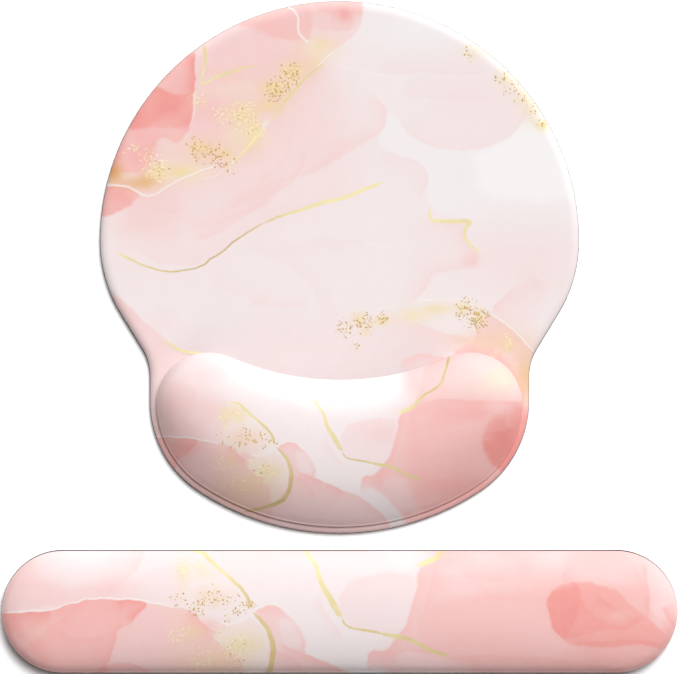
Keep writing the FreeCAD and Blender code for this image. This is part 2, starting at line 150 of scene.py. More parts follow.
PAD_BLEEDS = [
    # Painted shade: a grey tone on the pad along the cushion's rear edge, starting under the cushion and
    # fading out behind it.
    (PAINTED_SHADE, 0.95, 14, [(-118, -1), (-104, -11), (-90, -14), (-58, -21), (-30, -28), (-6, -31), (24, -29),
        (56, -22), (74, -15), (86, -13)]),
    (PETAL, 0.4, 4, [(-76, 84), (-50, 96), (-24, 105), (-4, 114), (8, 121), (26, 130)]),
    (BLUSH, 0.6, 5, [(-100, 70), (-80, 72), (-58, 82), (-40, 88)]),
    # The deep strip inside the torn line at the far left, and folds in the coral.
    (CORAL, 1.0, 6, [(-98.5, 130), (-95.5, 144), (-95, 157), (-93.5, 170), (-94, 190)]),
    (CORAL, 0.7, 4, [(-98, 158), (-105.5, 157), (-111.5, 159), (-118, 164)]),
    (CORAL, 0.6, 3, [(-105.5, 156), (-104, 150.5), (-112, 146), (-120.5, 143), (-121, 136)]),
    (ROSE, 0.6, 8, [(-126, 106), (-121, 118), (-120, 126), (-114, 131), (-107, 125.5), (-102, 129)]),
    (ROSE, 0.5, 5, [(-80, 204), (-62, 202), (-48, 196), (-34, 193)]),
    (MIST, 0.9, 7, [(20, 172), (60, 171), (100, 171)]),
    (MIST, 0.8, 9, [(38, 157), (70, 155), (104, 152)]),
    # Pale fields, from their drawn edges inwards.
    (BLUSH, 0.45, 16, [(-140, 62), (-124, 50), (-104, 46), (-88, 48), (-77, 54), (-62, 67), (-49, 74),
        (-23, 83), (0, 90), (24, 98)]),
    (PETAL, 0.75, 22, [(2, 188), (-12, 178), (-27, 165), (-38, 150), (-55, 127), (-67, 115.5), (-80, 112),
        (-93, 107), (-111, 99), (-119, 93), (-126, 90), (-132, 94), (-139, 96), (-150, 97)]),
    (BLUSH, 0.7, 8, [(-10, 110), (0, 118), (12, 125.5), (22, 128.5), (29, 135), (30.5, 143), (30, 150),
        (16, 160)]),
    (PETAL, 0.5, 5, [(-24, 104), (-12, 110), (-3, 114), (2, 121), (8, 128)]),
    (MIST, 0.9, 8, [(48, 88), (56.5, 95), (58, 104), (54, 112), (46, 116), (36, 119.5), (26, 121)]),
    (MIST, 0.9, 8, [(38, 146), (42, 134.5), (50, 128), (60, 123), (77, 120.5), (94, 122), (109, 129),
        (123, 143), (130, 152)]),
    (PETAL, 0.4, 8, [(-128, 87), (-119, 82), (-110, 79), (-100, 82)]),
    (PETAL, 0.45, 6, [(-100, 60), (-80, 66), (-66, 76), (-50, 84), (-38, 96), (-34, 110)]),
    (PETAL, 0.5, 5, [(-80, 78), (-60, 88), (-44, 92), (-30, 100), (-22, 114), (-20, 128)]),
    (PETAL, 0.35, 5, [(-60, 96), (-44, 104), (-34, 116), (-30, 134), (-22, 148)]),
    # Pink beside the gold zigzag, and the edge that goes on below it.
    (BLUSH, 0.75, 8, [(36, 20), (50.2, 23.3), (58.3, 32.5), (62.5, 41.5), (70.5, 42.5), (87, 45.5),
        (91, 49.5), (91.3, 54), (86, 59), (80.2, 65), (81.7, 71), (87, 75.5), (72.6, 74.6), (58.3, 75),
        (56, 86)]),
    (PETAL, 0.5, 3, [(78, 43.5), (87, 45.5), (91, 49.5), (89, 56)]),
    (BLUSH, 0.95, 14, [(140, 33), (132, 36), (126.4, 40.2), (119, 36), (111, 30.4), (103, 23.3),
        (100, 18.2), (97, 12)]),
    (PETAL, 0.7, 3.5, [(130, 31), (128.5, 36), (127, 40.5), (128, 44)]),
    (BLUSH, 0.85, 10, [(90, -5), (81.7, -1), (64, 4.5), (46.2, 9.6), (30, 15)]),
    (ROSE, 0.75, 4, [(74, -14), (66, -13), (55, -10), (48, -11.5), (45, -14), (41, -15), (38, -22)]),
    # The neck at the left, and its pink upper edge.
    (PETAL, 0.5, 7, [(-104, -8), (-112.7, -2.6), (-119.8, 4), (-131, 14.2), (-140, 22.5), (-146, 27.5),
        (-154, 33)]),
    # Faint folds below the vein.
    (MIST, 0.7, 5, [(-92, 44), (-84, 38), (-78, 31), (-66, 28), (-58, 26), (-53, 16), (-52, -2),
        (-46, -14)]),
    (MIST, 0.7, 5, [(-70, 60), (-56, 57), (-40, 50), (-26, 42), (-16, 32), (-11, 18), (-10, 4), (-6, -12)]),
    (BLUSH, 0.5, 3, [(-60, 20), (-50, 22), (-44, 18), (-30, 20), (-18, 18)]),
    (MIST, 0.6, 5, [(20, 64), (4, 62), (-14, 64), (-28, 60), (-44, 62)]),
]

PAD_BLOOMS = [
    (MIST, 0.8, 120, 45, 40, 22), (MIST, 0.6, 88, 152, 30, 16), (MILK, 0.8, 55, 200, 44, 13),
    (BLUSH, 0.6, -20, 135, 26, 30), (PEACH, 0.75, -126, 101, 14, 8), (STRAW, 0.8, -100, 107, 16, 8),
    (STRAW, 0.75, -62, 130, 15, 10), (STRAW, 0.8, -14, 187, 14, 9), (STRAW, 0.5, -33, 168, 8, 8),
    (STRAW, 0.35, -66, 160, 22, 6), (OCHRE, 0.9, -147, 107, 6, 7), (OCHRE, 0.45, -132, 100, 15, 4),
    (OCHRE, 0.4, -126, 103, 6, 5), (PEACH, 0.75, -84, 121, 26, 9), (PEACH, 0.8, -42, 157, 13, 12),
    (PEACH, 0.6, -24, 176, 12, 10), (PEACH, 0.5, -72, 171, 14, 5), (PEACH, 0.5, -92, 152, 8, 6),
    (GILT, 0.6, -104, 108, 10, 4), (GILT, 0.6, -118, 107, 6, 6), (GILT, 0.55, -90, 123, 7, 4),
    (GILT, 0.55, -74, 119, 5, 4), (GILT, 0.6, -30, 173, 8, 5), (GILT, 0.6, -42, 161, 9, 5),
    (GILT, 0.5, -47, 150, 9, 4), (GILT, 0.55, -56, 134, 6, 10), (GILT, 0.6, -64, 145, 9, 7),
    (GILT, 0.35, -9, 191, 8, 4), (GILT, 0.4, -15, 178, 5, 5), (CORAL, 0.7, -112, 151, 8, 8),
    (CORAL, 0.75, -133, 143, 9, 9), (CORAL, 0.6, -147, 122, 6, 14), (PEACH, 0.9, 121, -22, 10, 20),
    (OCHRE, 0.35, 121, -28, 6, 14), (PEACH, 0.9, 98, -3, 26, 6), (PEACH, 0.4, 104, 4, 14, 10),
    (GILT, 0.6, 12, 12, 5, 4), (GILT, 0.7, 27, 10, 6, 3.5), (GILT, 0.4, 17, 4, 5, 4),
    (GILT, 0.5, 47, 13.5, 5, 3), (GILT, 0.6, 62, 18, 8, 3), (GILT, 0.5, 80, 18, 5, 3),
    (GILT, 0.5, 91, 13, 5, 5), (GILT, 0.5, 110, -6, 4, 5), (GILT, 0.6, 132, 138, 6, 4),
    (GILT, 0.3, 110, 167, 9, 6), (GILT, 0.2, 122, 156, 6, 8), (PAPER, 0.85, 122, 79, 44, 6),
    (PETAL, 0.5, -128, 76, 26, 14), (MIST, 0.8, -20, -6, 56, 18), (MIST, 0.7, -114, 8, 14, 12),
    (MIST, 0.5, 120, 55, 40, 14), (CORAL, 0.5, 3, 209, 5, 5), (ROSE, 0.5, -84, 146, 14, 10),
    (STRAW, 0.75, 49, 14, 13, 6), (STRAW, 0.55, 68, 19, 9, 4), (ROSE, 0.35, 86, 50, 6, 6),
    (SALMON, 0.5, -128, 120, 12, 12), (SALMON, 0.4, -112, 172, 8, 8), (CORAL, 0.3, -142, 91, 10, 7),
    (STRAW, 0.4, 92, 186, 14, 6), (STRAW, 0.4, 124, 152, 9, 14),
]

# Veins of gold foil: (half widths along it, brightness along it, path). White
# tears in the wash: (half width, path). Flecks of foil: (x, y, reach, share
# of dark gold, share of cream).
PAD_VEINS = [
    ((0.9, 0.7, 0.6, 0.55, 0.5, 0.6), (0.9, 0.7, 0.5, 0.35, 0.35, 0.6), [(-145, 55), (-136, 50.5),
        (-126, 46), (-116, 43), (-108, 42), (-98, 44), (-88, 46.5), (-84, 51), (-77, 54), (-69, 62),
        (-60, 68), (-49, 74)]),
    ((0.6, 1.0, 1.3, 1.3, 1.0), (0.6, 0.85, 0.95, 1.0, 1.0), [(-49, 74), (-38, 79), (-23, 83), (-10, 88),
        (2, 90), (14, 95), (28, 100)]),
    ((0.8, 1.2, 1.3, 1.3, 1.0, 1.0, 0.8), (0.95, 1.0, 0.9, 0.8, 0.9, 0.9, 0.95), [(59.4, 83), (58.3, 75),
        (72.6, 74.8), (87, 76), (81.5, 71.5), (80.2, 65), (85.8, 59), (91.5, 54)]),
    ((1.2, 1.0, 0.8, 0.7), (0.75, 0.85, 0.9, 0.9), [(-87.5, 189), (-87, 178), (-89.5, 168), (-90, 164)]),
    ((0.6, 0.9, 0.9, 0.6, 0.2), (0.9, 0.85, 0.8, 0.8, 0.8), [(-90, 164.5), (-86, 165), (-80, 169.5),
        (-70, 172), (-60, 176), (-50, 175)]),
    ((0.3, 0.7, 0.9, 0.8, 0.3), (0.8, 0.65, 0.75, 0.8, 0.8), [(-10, 178), (-17, 173), (-27, 164),
        (-37, 150), (-46, 140)]),
    ((0.3, 0.9, 1.0, 0.7, 0.3), (0.8, 0.95, 0.9, 0.95, 0.9), [(-50, 139), (-53, 131), (-59, 124),
        (-66, 116), (-71, 114)]),
    ((0.4, 1.0, 0.9, 0.3), (0.85, 0.85, 0.9, 0.9), [(-114, -1), (-108, -7), (-98, -10), (-84, -11)]),
    ((0.3, 0.7, 0.3), (0.5, 0.4, 0.5), [(91, 18), (96, 14.5), (99, 13.5)]),
    ((0.4, 0.6, 0.3), (0.4, 0.35, 0.5), [(86, 12), (89, 6), (89, 3)]),
]

PAD_TEARS = [
    (0.5, [(-153, 98.5), (-139, 98.5), (-132, 95), (-127, 91.5), (-120, 92), (-112, 98), (-103, 102.5),
        (-93, 107), (-80, 112)]),
    (0.5, [(-67, 115.5), (-59, 124), (-53, 131), (-48, 141)]),
    (0.7, [(-34, 214), (-29, 212), (-26, 206), (-27, 199), (-22, 192), (-20, 192)]),
    (0.35, [(-3, 186), (-9, 181), (-15, 175)]),
    (0.5, [(50, 23), (62, 24.4), (73.6, 24.8), (83.7, 22.8), (91, 18), (100, 14.2), (109, 8.1),
        (117.2, 0.9), (123.3, -6.2), (127, -10)]),
    (0.4, [(22.8, 17.7), (30, 18.6), (37, 20)]),
    (0.35, [(-3, 177), (15.7, 172.7), (27.9, 169.3), (46, 168.6), (56, 172)]),
    (0.35, [(16, 61.5), (24, 60.5), (36, 57.8)]),
    (0.3, [(50.2, 23.1), (58, 32), (61, 41)]),
    (0.3, [(-94, 160), (-94.4, 150), (-95, 143), (-98, 136)]),
    (0.3, [(-90, 103), (-82, 104), (-76, 108)]),
]

PAD_FLECKS = [
    (-32, 170, 9, 0.75, 0.3), (-41, 161, 9, 0.7, 0.25), (-30, 174, 5, 0.9, 0.2), (-36, 165, 6, 0.8, 0.3),
    (-62, 144, 12, 0.12, 0.95), (-76, 145, 8, 0.05, 0.6), (-56, 135, 8, 0.15, 0.9),
    (-91, 155, 7, 0.0, 0.45), (-91, 122, 10, 0.6, 0.15), (-80, 118, 9, 0.55, 0.2), (-71, 112, 7, 0.5, 0.4),
    (-119, 109, 10, 0.3, 0.95), (-125, 118, 6, 0.0, 0.6), (-135, 122, 6, 0.0, 0.5), (16, 9, 8, 0.8, 0.25),
    (4, 5, 7, 0.7, 0.2), (28, 12.5, 4, 0.95, 0.3), (11, -6, 5, 0.4, 0.1), (82, 17, 9, 0.85, 0.2),
    (87, 11.5, 7, 0.8, 0.1), (95, 15, 4, 0.9, 0.1), (92, 7, 5, 0.5, 0.2), (109, -4, 4, 0.1, 1.0),
    (107, 1, 4, 0.0, 0.9), (101, -11, 3, 0.0, 1.0), (85, 185, 6, 0.3, 0.3), (104, 169.5, 6, 0.4, 0.3),
    (111, 161, 6, 0.4, 0.2), (117, 156, 6, 0.3, 0.4), (125, 147, 6, 0.25, 0.5), (133, 138, 4, 0.9, 0.5),
    (128, 139, 4, 0.4, 0.1),
]

# Where the coral at the bar's left stops, seen from left to right.
TORN_EDGE = [(-209, 0.3), (-199, 1.5), (-189, 1.3), (-182, 3.2), (-176.5, 6), (-169, 6.5), (-165.5, 8.9),
             (-151.7, 9.9), (-144, 8.7), (-134.5, 9.4), (-127, 8.4)]

BAR_WASHES = [
    # Upper left: pink stains with faint edges.
    (BLUSH, 0.35, 0.5, 14, 2.5, [(-240, 15.5), (-203, 16), (-189, 13.5), (-170, 12), (-147, 15),
        (-136, 22.5), (-128.5, 31), (-124, 60), (-240, 60)]),
    (BLUSH, 0.95, 0.95, 14, 8, [(-240, -3), (-203, 0), (-165, 6), (-127, 6), (-114, 10), (-126, 20),
        (-150, 21), (-175, 17), (-196, 22), (-204, 60), (-240, 60)]),
    (MIST, 0.8, 0.8, 10, 8, [(-145, 14), (-120, 30), (-96, 30), (-96, 2), (-124, 6), (-150, 9)]),
    # Coral below the torn edge.
    (PETAL, 0.95, 0.95, 14, 1.2, [(-240, -1), *TORN_EDGE, (-123, 6.5), (-115.5, 5.9), (-107, 3.2),
        (-97, 1.3), (-90, -2), (-80, -20), (-60, -30), (-60, -80), (-240, -80)]),
    (ROSE, 0.95, 1.0, 8, 1.2, [(-240, -1), *TORN_EDGE, (-125, 6.5), (-131.7, -1.6), (-135.5, -7.3),
        (-141.2, -8.7), (-144, -12), (-146, -21.6), (-150.3, -33), (-154, -80), (-240, -80)]),
    # Peach and straw stain left of the gold arc, with a white lobe in it.
    (PEACH, 0.2, 0.3, 8, 6, [(-112, 0), (-92, -1), (-88, -6), (-74, -8), (-60, -4), (-50, -9), (-46, -20),
        (-47, -44), (-80, -60), (-108, -40)]),
    (PAPER, 0.8, 0.9, 6, 2, [(-104, 12), (-96, 20), (-84, 32), (-76, 27), (-68, 20), (-60, 10), (-58, -2),
        (-65, -6), (-71, -7.8), (-78, -5), (-86, -1), (-98, 2)]),
    # Rose lobe right of the gold arc, with a pale window.
    (PETAL, 0.6, 1.0, 4, 2.4, [(-57, 0), (-49.3, 4.1), (-43.6, 5.3), (-38, 3.2), (-32, -1.6), (-26.4, -7.3),
        (-23.6, -14), (-21.7, -19.7), (-23, -26.4), (-15, -30.2), (-5.4, -33), (2.2, -38), (10, -40),
        (28, -50), (42, -64), (46, -80), (-96, -80), (-84, -58), (-58, -50), (-48, -38), (-46, -30),
        (-46, -12)]),
    (MIST, 0.7, 0.6, 4, 2.4, [(-39, -2.5), (-32, -3.5), (-26.5, -10), (-24, -18), (-25, -23), (-31, -22.5),
        (-37, -19.7), (-39.5, -10)]),
    # Middle: milk on the left of the second vein, mist to its right.
    (PAPER, 0.8, 0.8, 10, 5, [(-54, 60), (-57, 12), (-50, 6), (-36, 4), (-20, -18), (-20, -28), (2, -36),
        (16, -38), (18, -24), (28, -22), (34, -17), (8, -10), (0, 0), (-9, 15), (-20, 36), (-20, 60)]),
    (MILK, 0.5, 0.5, 10, 10, [(-54, 60), (-40, 34), (5, 26), (17, 26), (34, 28), (44, 27), (52, 32),
        (66, 38), (70, 60)]),
    (MIST, 0.95, 1.0, 6, 3, [(4, -8), (-2, 6), (5, 18.5), (17, 23.2), (33.6, 26), (40.3, 24.2), (50, 25),
        (47, 3), (43, -8), (38, -15), (20, -11.5)]),
    # Long pink field.
    (PETAL, 0.8, 0.8, 10, 3.5, [(52.5, 29), (50.8, 24), (50, 15.6), (47, 3.2), (43.2, -8.2), (40.3, -12),
        (34.6, -17.8), (32.7, -22.6), (29, -25), (20.3, -24.5), (18.4, -27.3), (17.9, -31), (22, -35),
        (30, -37), (38, -42), (46, -50), (56, -62), (64, -80), (64, -90), (240, -90), (240, 90), (78, 90),
        (66, 37), (58, 33)]),
    (ROSE, 0.6, 0.6, 12, 10, [(70, 10), (120, 14), (240, 18), (240, -90), (60, -90), (50, -22), (56, 0)]),
    (BLUSH, 0.8, 0.3, 4, 4, [(36, -27.5), (45, -25), (58, -25.5), (72, -29), (90, -34), (80, -60),
        (56, -58), (40, -40)]),
    # Folded coral stains at the right end.
    (SALMON, 0.85, 0.9, 8, 2.4, [(134, 5), (135, 11), (138.2, 15.6), (146, 19.5), (160, 20), (172.6, 15.6),
        (183, 11.8), (188.8, 5), (195.5, 0.3), (207, -10), (215, -18), (208, -24), (195.5, -20.2),
        (184, -21.6), (172.6, -22.6), (152.5, -22), (146, -18.7), (140.2, -13), (136.3, -6.3)]),
    (CORAL, 0.5, 0.9, 5, 1.4, [(133.5, 5), (135, 11), (138.2, 15.6), (146, 19.4), (152.5, 20.4),
        (156.4, 15.6), (157.3, 9.9), (154.5, 2.2), (150.5, -8), (147, -18), (140.2, -13), (136.3, -6.3)]),
    (BLUSH, 0.75, 0.4, 5, 2, [(144, 24), (146.8, 31.8), (155.4, 35), (168, 37), (196, 34), (199, 20),
        (186, 17), (170, 20), (156, 22)]),
    (BLUSH, 0.85, 0.6, 5, 1.6, [(199, 30), (200.7, 14.6), (200.7, -2.5), (210, -11), (230, -6), (230, 20),
        (212, 36)]),
]

BAR_BLEEDS = [
    # Streaks and folds of the long field and its stain.
    (ROSE, 0.6, 6, [(84, 6), (100, 9), (120, 8), (136, 4)]),
    (SALMON, 0.45, 8, [(196, -40), (170, -34), (130, -29), (90, -27), (60, -30)]),
    (ROSE, 0.45, 6, [(66, 30), (84, 22), (104, 20), (130, 22)]),
    (CORAL, 0.6, 4, [(141, 16), (144, 6), (143, -4), (146, -14)]),
    (CORAL, 0.7, 4, [(190, -8), (176, -8), (164, -2), (158, 8), (152, 18)]),
    (CORAL, 0.5, 4, [(208, -14), (196, -8), (186, 0), (172, 8), (160, 18)]),
    (CORAL, 0.6, 5, [(212, -20), (190, -17), (170, -18), (150, -20)]),
    (ROSE, 0.6, 5, [(214, -8), (206, -4), (199, 8), (196, 22), (190, 34)]),
    (SALMON, 0.5, 5, [(-222, -10), (-206, -16), (-196, -26), (-192, -40)]),
    (SALMON, 0.4, 6, [(-150, -14), (-164, -18), (-180, -14), (-190, -4)]),
    # Upper left.
    (PETAL, 0.5, 6, [(-240, 14), (-217.5, 15.6), (-203, 16), (-189.8, 13.7), (-176, 14)]),
    (BLUSH, 0.7, 7, [(-160, 8), (-150, 12), (-147, 15.6), (-141, 19), (-136, 22.3), (-132, 27),
        (-128.8, 31), (-125, 42)]),
    # Coral under the torn edge: its dark triangle and the folds below it.
    (CORAL, 0.95, 5, [(-184, 0), (-190, 0.3), (-199, 0.8), (-209, -0.5), (-222, -2)]),
    (SALMON, 0.9, 7, [(-124, 8), (-134.5, 9.4), (-144, 8.7), (-151.7, 9.9), (-165.5, 8.9), (-169, 6.5),
        (-176.5, 6), (-182, 3.2), (-190, 0)]),
    (CORAL, 0.8, 4, [(-138, -8), (-134, -6), (-131.7, -1.6), (-125.5, 5.5), (-126, 7.5), (-134.5, 9.2),
        (-140, 9), (-148, 9)]),
    (SALMON, 0.8, 3, [(-154, -44), (-150.3, -33), (-146, -21.6), (-144, -12), (-141.2, -8.7), (-136, -7)]),
    (SALMON, 0.55, 7, [(-170, 2), (-176, -2), (-184, -8), (-194, -14), (-202, -20), (-206, -30)]),
    (SALMON, 0.8, 5, [(-120, -40), (-128.8, -35), (-139.3, -32.6), (-147.9, -33.5), (-157.4, -37.8),
        (-164, -44)]),
    (SALMON, 0.7, 4, [(-78, -12), (-84, -10), (-88, -6), (-92, -2), (-100, 1)]),
    # Rose lobe.
    (ROSE, 0.5, 4, [(-34, -1), (-38, 2.8), (-43.6, 4.8), (-49.3, 3.5), (-55, 0)]),
    (ROSE, 0.8, 7, [(6, -42), (0, -36), (-8, -32), (-18, -29), (-25, -26), (-31.2, -23), (-40, -19)]),
    (ROSE, 0.5, 6, [(-20, -44), (-26, -34), (-34, -26), (-46, -24)]),
    # Middle.
    (BLUSH, 0.4, 7, [(48, 27), (40.3, 24.2), (33.6, 26), (17.4, 23.2), (5, 18.5), (0, 12), (-4, 4)]),
    (BLUSH, 0.5, 4, [(2, -18), (-2, -8), (-10, 2), (-14, 12)]),
    # The deep band where the long pink field starts.
    (ROSE, 0.8, 7, [(56, 34), (52.7, 29), (50.8, 24), (49.9, 15.6), (47, 3.2), (43.2, -8.2), (40.3, -12),
        (34.6, -17.8), (32.7, -22.6), (28.9, -24.9), (20.3, -24.5), (18.4, -27.3), (17.9, -33), (20, -44)]),
    (ROSE, 0.6, 5, [(36, -38), (35.5, -32), (36.5, -27.3), (45.1, -24.5), (57.5, -25.4), (70, -27),
        (92, -33)]),
    (ROSE, 0.6, 6, [(62, 40), (60.5, 26), (58, 12), (54, 0), (48, -14)]),
    # Streaks in the long field.
    (ROSE, 0.6, 6, [(110, 12), (124, 11.5), (134, 14), (142, 15), (152, 19)]),
    (ROSE, 0.5, 5, [(72, -20), (86, -21.5), (98, -26), (116, -28), (132, -33)]),
    (PETAL, 0.6, 6, [(76, 36), (90, 32), (104, 30), (110, 26), (124, 24), (136, 24)]),
    (ROSE, 0.45, 5, [(96, 40), (110, 36), (116, 33), (122, 28), (128, 30), (132, 35)]),
    (ROSE, 0.7, 5, [(150, 40), (147, 33), (144, 26), (145, 20), (150, 14)]),
    (SALMON, 0.7, 6, [(213, -16), (207, -10), (200, -3.5), (195.5, 0.3), (188.8, 5.1), (183, 11.8),
        (172.6, 15.6), (160.2, 19.4), (150, 20)]),
    (CORAL, 0.7, 3.5, [(196, -4), (188, -2), (180, 2), (172.6, 7), (166, 12)]),
    (CORAL, 0.7, 3, [(153, -6), (156, -9), (163, -9.9), (176.4, -10.6), (185.9, -9.2), (194.5, -5.4),
        (199, -1)]),
    (CORAL, 0.6, 3.5, [(145, -18), (150, -15.5), (157.3, -14), (165.9, -12), (172, -9)]),
    (CORAL, 0.6, 3.5, [(146, -19), (152.5, -22.1), (161.1, -21.6), (172.6, -22.6), (184, -21.6),
        (195.5, -20.2), (207.8, -23.5), (214, -24)]),
    (SALMON, 0.6, 3, [(203, -9), (200.7, -2.5), (200.7, 14.6), (198.8, 26.1), (199, 34)]),
    (SALMON, 0.8, 4, [(208, 4), (212, -2), (214.5, -5), (218, -14)]),
    (SALMON, 0.6, 4, [(214, -30), (205, -28), (194.5, -29.2), (185.9, -33), (176, -38), (172, -46)]),
]

BAR_BLOOMS = [
    (PAPER, 0.7, -163, 33, 24, 12), (PETAL, 0.8, -214, 20, 13, 22), (PETAL, 0.5, -190, 9, 22, 6),
    (PETAL, 0.5, -148, 15, 16, 6), (MIST, 0.6, -112, 24, 10, 16), (GILT, 0.35, -102, 26, 5, 9),
    (STRAW, 0.6, -88, 27, 8, 6), (GILT, 0.5, -63, -21, 12, 6), (GILT, 0.4, -94, -12, 6, 6),
    (GILT, 0.3, -78, -30, 10, 6), (PEACH, 0.45, -84, 10, 16, 8), (PEACH, 0.6, -82, -34, 26, 9),
    (ROSE, 0.5, -84, -7, 10, 5), (PEACH, 0.35, -192, -12, 10, 5), (BLUSH, 0.7, 95, 33, 22, 8),
    (SALMON, 0.5, 176, -30, 38, 8), (SALMON, 0.6, 214, -12, 6, 12), (SALMON, 0.5, 172, 0, 24, 14),
    (CORAL, 0.45, 150, 4, 12, 14), (BLUSH, 0.7, 74, 27, 9, 4), (BLUSH, 0.9, 136, 34, 16, 8),
    (PETAL, 0.6, 118, 22, 16, 6), (CORAL, 0.3, 151, -8, 6, 9), (PETAL, 0.5, 182, -2, 8, 4),
    (ROSE, 0.3, 100, -20, 26, 12), (CORAL, 0.35, -212, -8, 6, 6),
]

BAR_VEINS = [
    ((0.8, 1.3, 1.1, 1.2, 1.1), (0.9, 0.8, 0.85, 0.65, 0.6), [(-97, 40), (-88, 38.5), (-84, 34), (-78, 28),
        (-70.5, 22.5), (-63, 15.6), (-59.3, 9.9), (-58, 3)]),
    ((1.1, 1.5, 1.7, 1.7, 1.5, 1.2), (0.65, 0.6, 0.5, 0.42, 0.42, 0.4), [(-56, 0), (-49.3, -6.8),
        (-46.4, -11), (-44, -17.8), (-43, -23.5), (-43.8, -31), (-45.5, -38.8), (-50, -46), (-58, -50),
        (-71, -54), (-85, -57)]),
    ((0.9, 1.3, 1.4, 1.8, 2.0, 1.5), (1.0, 0.95, 0.9, 0.8, 0.75, 0.8), [(-23, 43), (-19.3, 35.6), (-14, 29),
        (-12.6, 21.3), (-8.3, 12.7), (-3.5, 5), (1.2, -2.5)]),
    ((0.7, 0.7, 0.8, 1.0), (0.7, 0.6, 0.6, 0.7), [(2, -4), (4, -8), (9.8, -10.2), (19.3, -11.1),
        (27, -13)]),
    ((1.0, 1.4, 1.3, 1.2, 1.3, 0.9), (0.75, 0.75, 0.7, 0.7, 0.65, 0.65), [(26, -13), (33, -15), (44, -16.5),
        (52.7, -20.6), (59.4, -24.5), (71, -28)]),
    ((1.2, 1.6, 1.3, 1.1, 1.1, 1.2, 1.0, 1.0), (0.95, 0.85, 0.7, 0.5, 0.5, 0.6, 0.5, 0.5), [(50, 30.5),
        (57.5, 33), (63, 35), (66, 39), (71.5, 45), (80, 50), (88, 56), (90, 64), (95.5, 80)]),
]

BAR_TEARS = [
    (0.6, [(-219, -1), (-209, 0.3), (-199, 1.5), (-189, 1.3), (-182, 3.2), (-176.5, 6), (-169, 6.6),
        (-165.5, 9), (-159, 9), (-151.7, 10), (-144, 8.8), (-134.5, 9.6), (-127, 8.4), (-122, 6.6),
        (-115.5, 6), (-107, 3.2)]),
    (0.45, [(-78, -5), (-71, -7.8), (-65, -6), (-59, -3)]),
    (0.35, [(-57, 1), (-49, 5), (-43, 6), (-37, 4), (-31, -1)]),
]

BAR_FLECKS = [
    (-101, 29, 6, 0.0, 0.8), (-101, 20, 5, 0.0, 0.6), (-92, 30, 5, 0.0, 0.5), (-83, 10.5, 9, 0.55, 0.1),
    (-75, 9, 6, 0.5, 0.1), (-104, 9, 7, 0.4, 0.1), (-92, 3, 7, 0.6, 0.1), (-62, 5, 5, 0.7, 0.1),
    (-66, 1, 4, 0.7, 0.1), (-57, 5.5, 3, 0.9, 0.0), (-68, 11, 4, 0.6, 0.0), (-72, -3, 4, 0.5, 0.1),
    (-104, -14, 9, 0.0, 0.45), (-76, -14, 7, 0.05, 0.6), (-66, -22, 13, 0.1, 0.75),
    (-90, -30, 10, 0.0, 0.45),
]

# Painted shade along the bar's rear edge: deeper pink that tones down the light falling brightest on its
# rear slope.
REAR_PAINTED_SHADE = [
    (PETAL, 0.35, 12, [(70, 40), (-120, 40), (-236, 42)]),
    (ROSE, 0.75, 13, [(236, 42), (130, 40), (40, 40)]),
]

# Stains that lie beyond the bar's edges and show only on the cushion.
CUSHION_WASHES = [
    (ROSE, 0.65, 0.85, 8, 12, [(60, 26), (66, 38), (84, 41), (110, 42), (140, 40), (175, 36), (180, -80),
        (84, -80), (66, -52), (58, -20)]),
    (CORAL, 0.8, 1.0, 8, 5, [(124, 5), (127, 20), (136, 32), (150, 36), (175, 34), (175, -20), (152, -26),
        (138, -20), (128, -8)]),
    (PAPER, 0.75, 0.75, 8, 5, [(-16, -26), (4, -30), (20, -36), (34, -46), (44, -60), (52, -62), (42, -46),
        (32, -37), (20, -31), (10, -24)]),
    (SNOW, 0.9, 0.9, 10, 20, [(-112, 110), (-104, 76), (-84, 58), (-50, 44), (0, 36), (36, 38), (50, 48),
        (60, 70), (70, 110)]),
]

CUSHION_BLEEDS = [
    (ROSE, 0.8, 7, [(54, 36), (51, 22), (47, 3.2), (43, -8), (34, -20), (22, -27)]),
    (SALMON, 0.8, 13, [(170, 39), (130, 41), (100, 42.5), (72, 40.5), (58, 34)]),
    (PETAL, 0.8, 9, [(97, 84), (90, 58), (80, 48), (66, 38), (52, 30)]),
    (SALMON, 0.6, 7, [(-60, -74), (-96, -62), (-126, -44), (-150, -26), (-170, -6)]),
]

CUSHION_BLOOMS = [
    (PETAL, 0.85, -150, 34, 30, 34), (PETAL, 0.5, -128, 14, 22, 14), (BLUSH, 0.6, -118, 66, 22, 14),
    (PEACH, 0.6, -80, -40, 30, 16), (PEACH, 0.5, -84, 6, 20, 12), (STRAW, 0.7, 134, 60, 26, 12),
    (BLUSH, 0.7, 110, 66, 26, 14), (GILT, 0.5, -94, 30, 12, 8), (PETAL, 0.5, 36, 12, 18, 10),
    (SALMON, 0.65, 108, 31, 48, 9), (PETAL, 0.8, 66, 56, 12, 20), (SALMON, 0.7, -136, 0, 14, 7),
    (PETAL, 0.6, -116, 34, 16, 14), (BRICK, 0.3, 142, 8, 12, 18), (SALMON, 0.4, 100, -34, 40, 12),
]

# ---------------------------------------------------------------- outlines

def sheet_corners(node):
    """Corner points round a flat CAD sheet's lower face, in order, in mm."""
    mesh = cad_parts[node].data
    low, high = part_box(node)
    level = low.z + 0.02 * MM
    found = {(round(v.co.x / MM, 3), round(v.co.y / MM, 3)) for v in mesh.vertices if v.co.z < level}
    points = np.array(sorted(found))
    middle = np.array([(low.x + high.x) / 2, (low.y + high.y) / 2]) / MM
    angle = np.arctan2(points[:, 1] - middle[1], points[:, 0] - middle[0])
    return points[np.argsort(angle)]


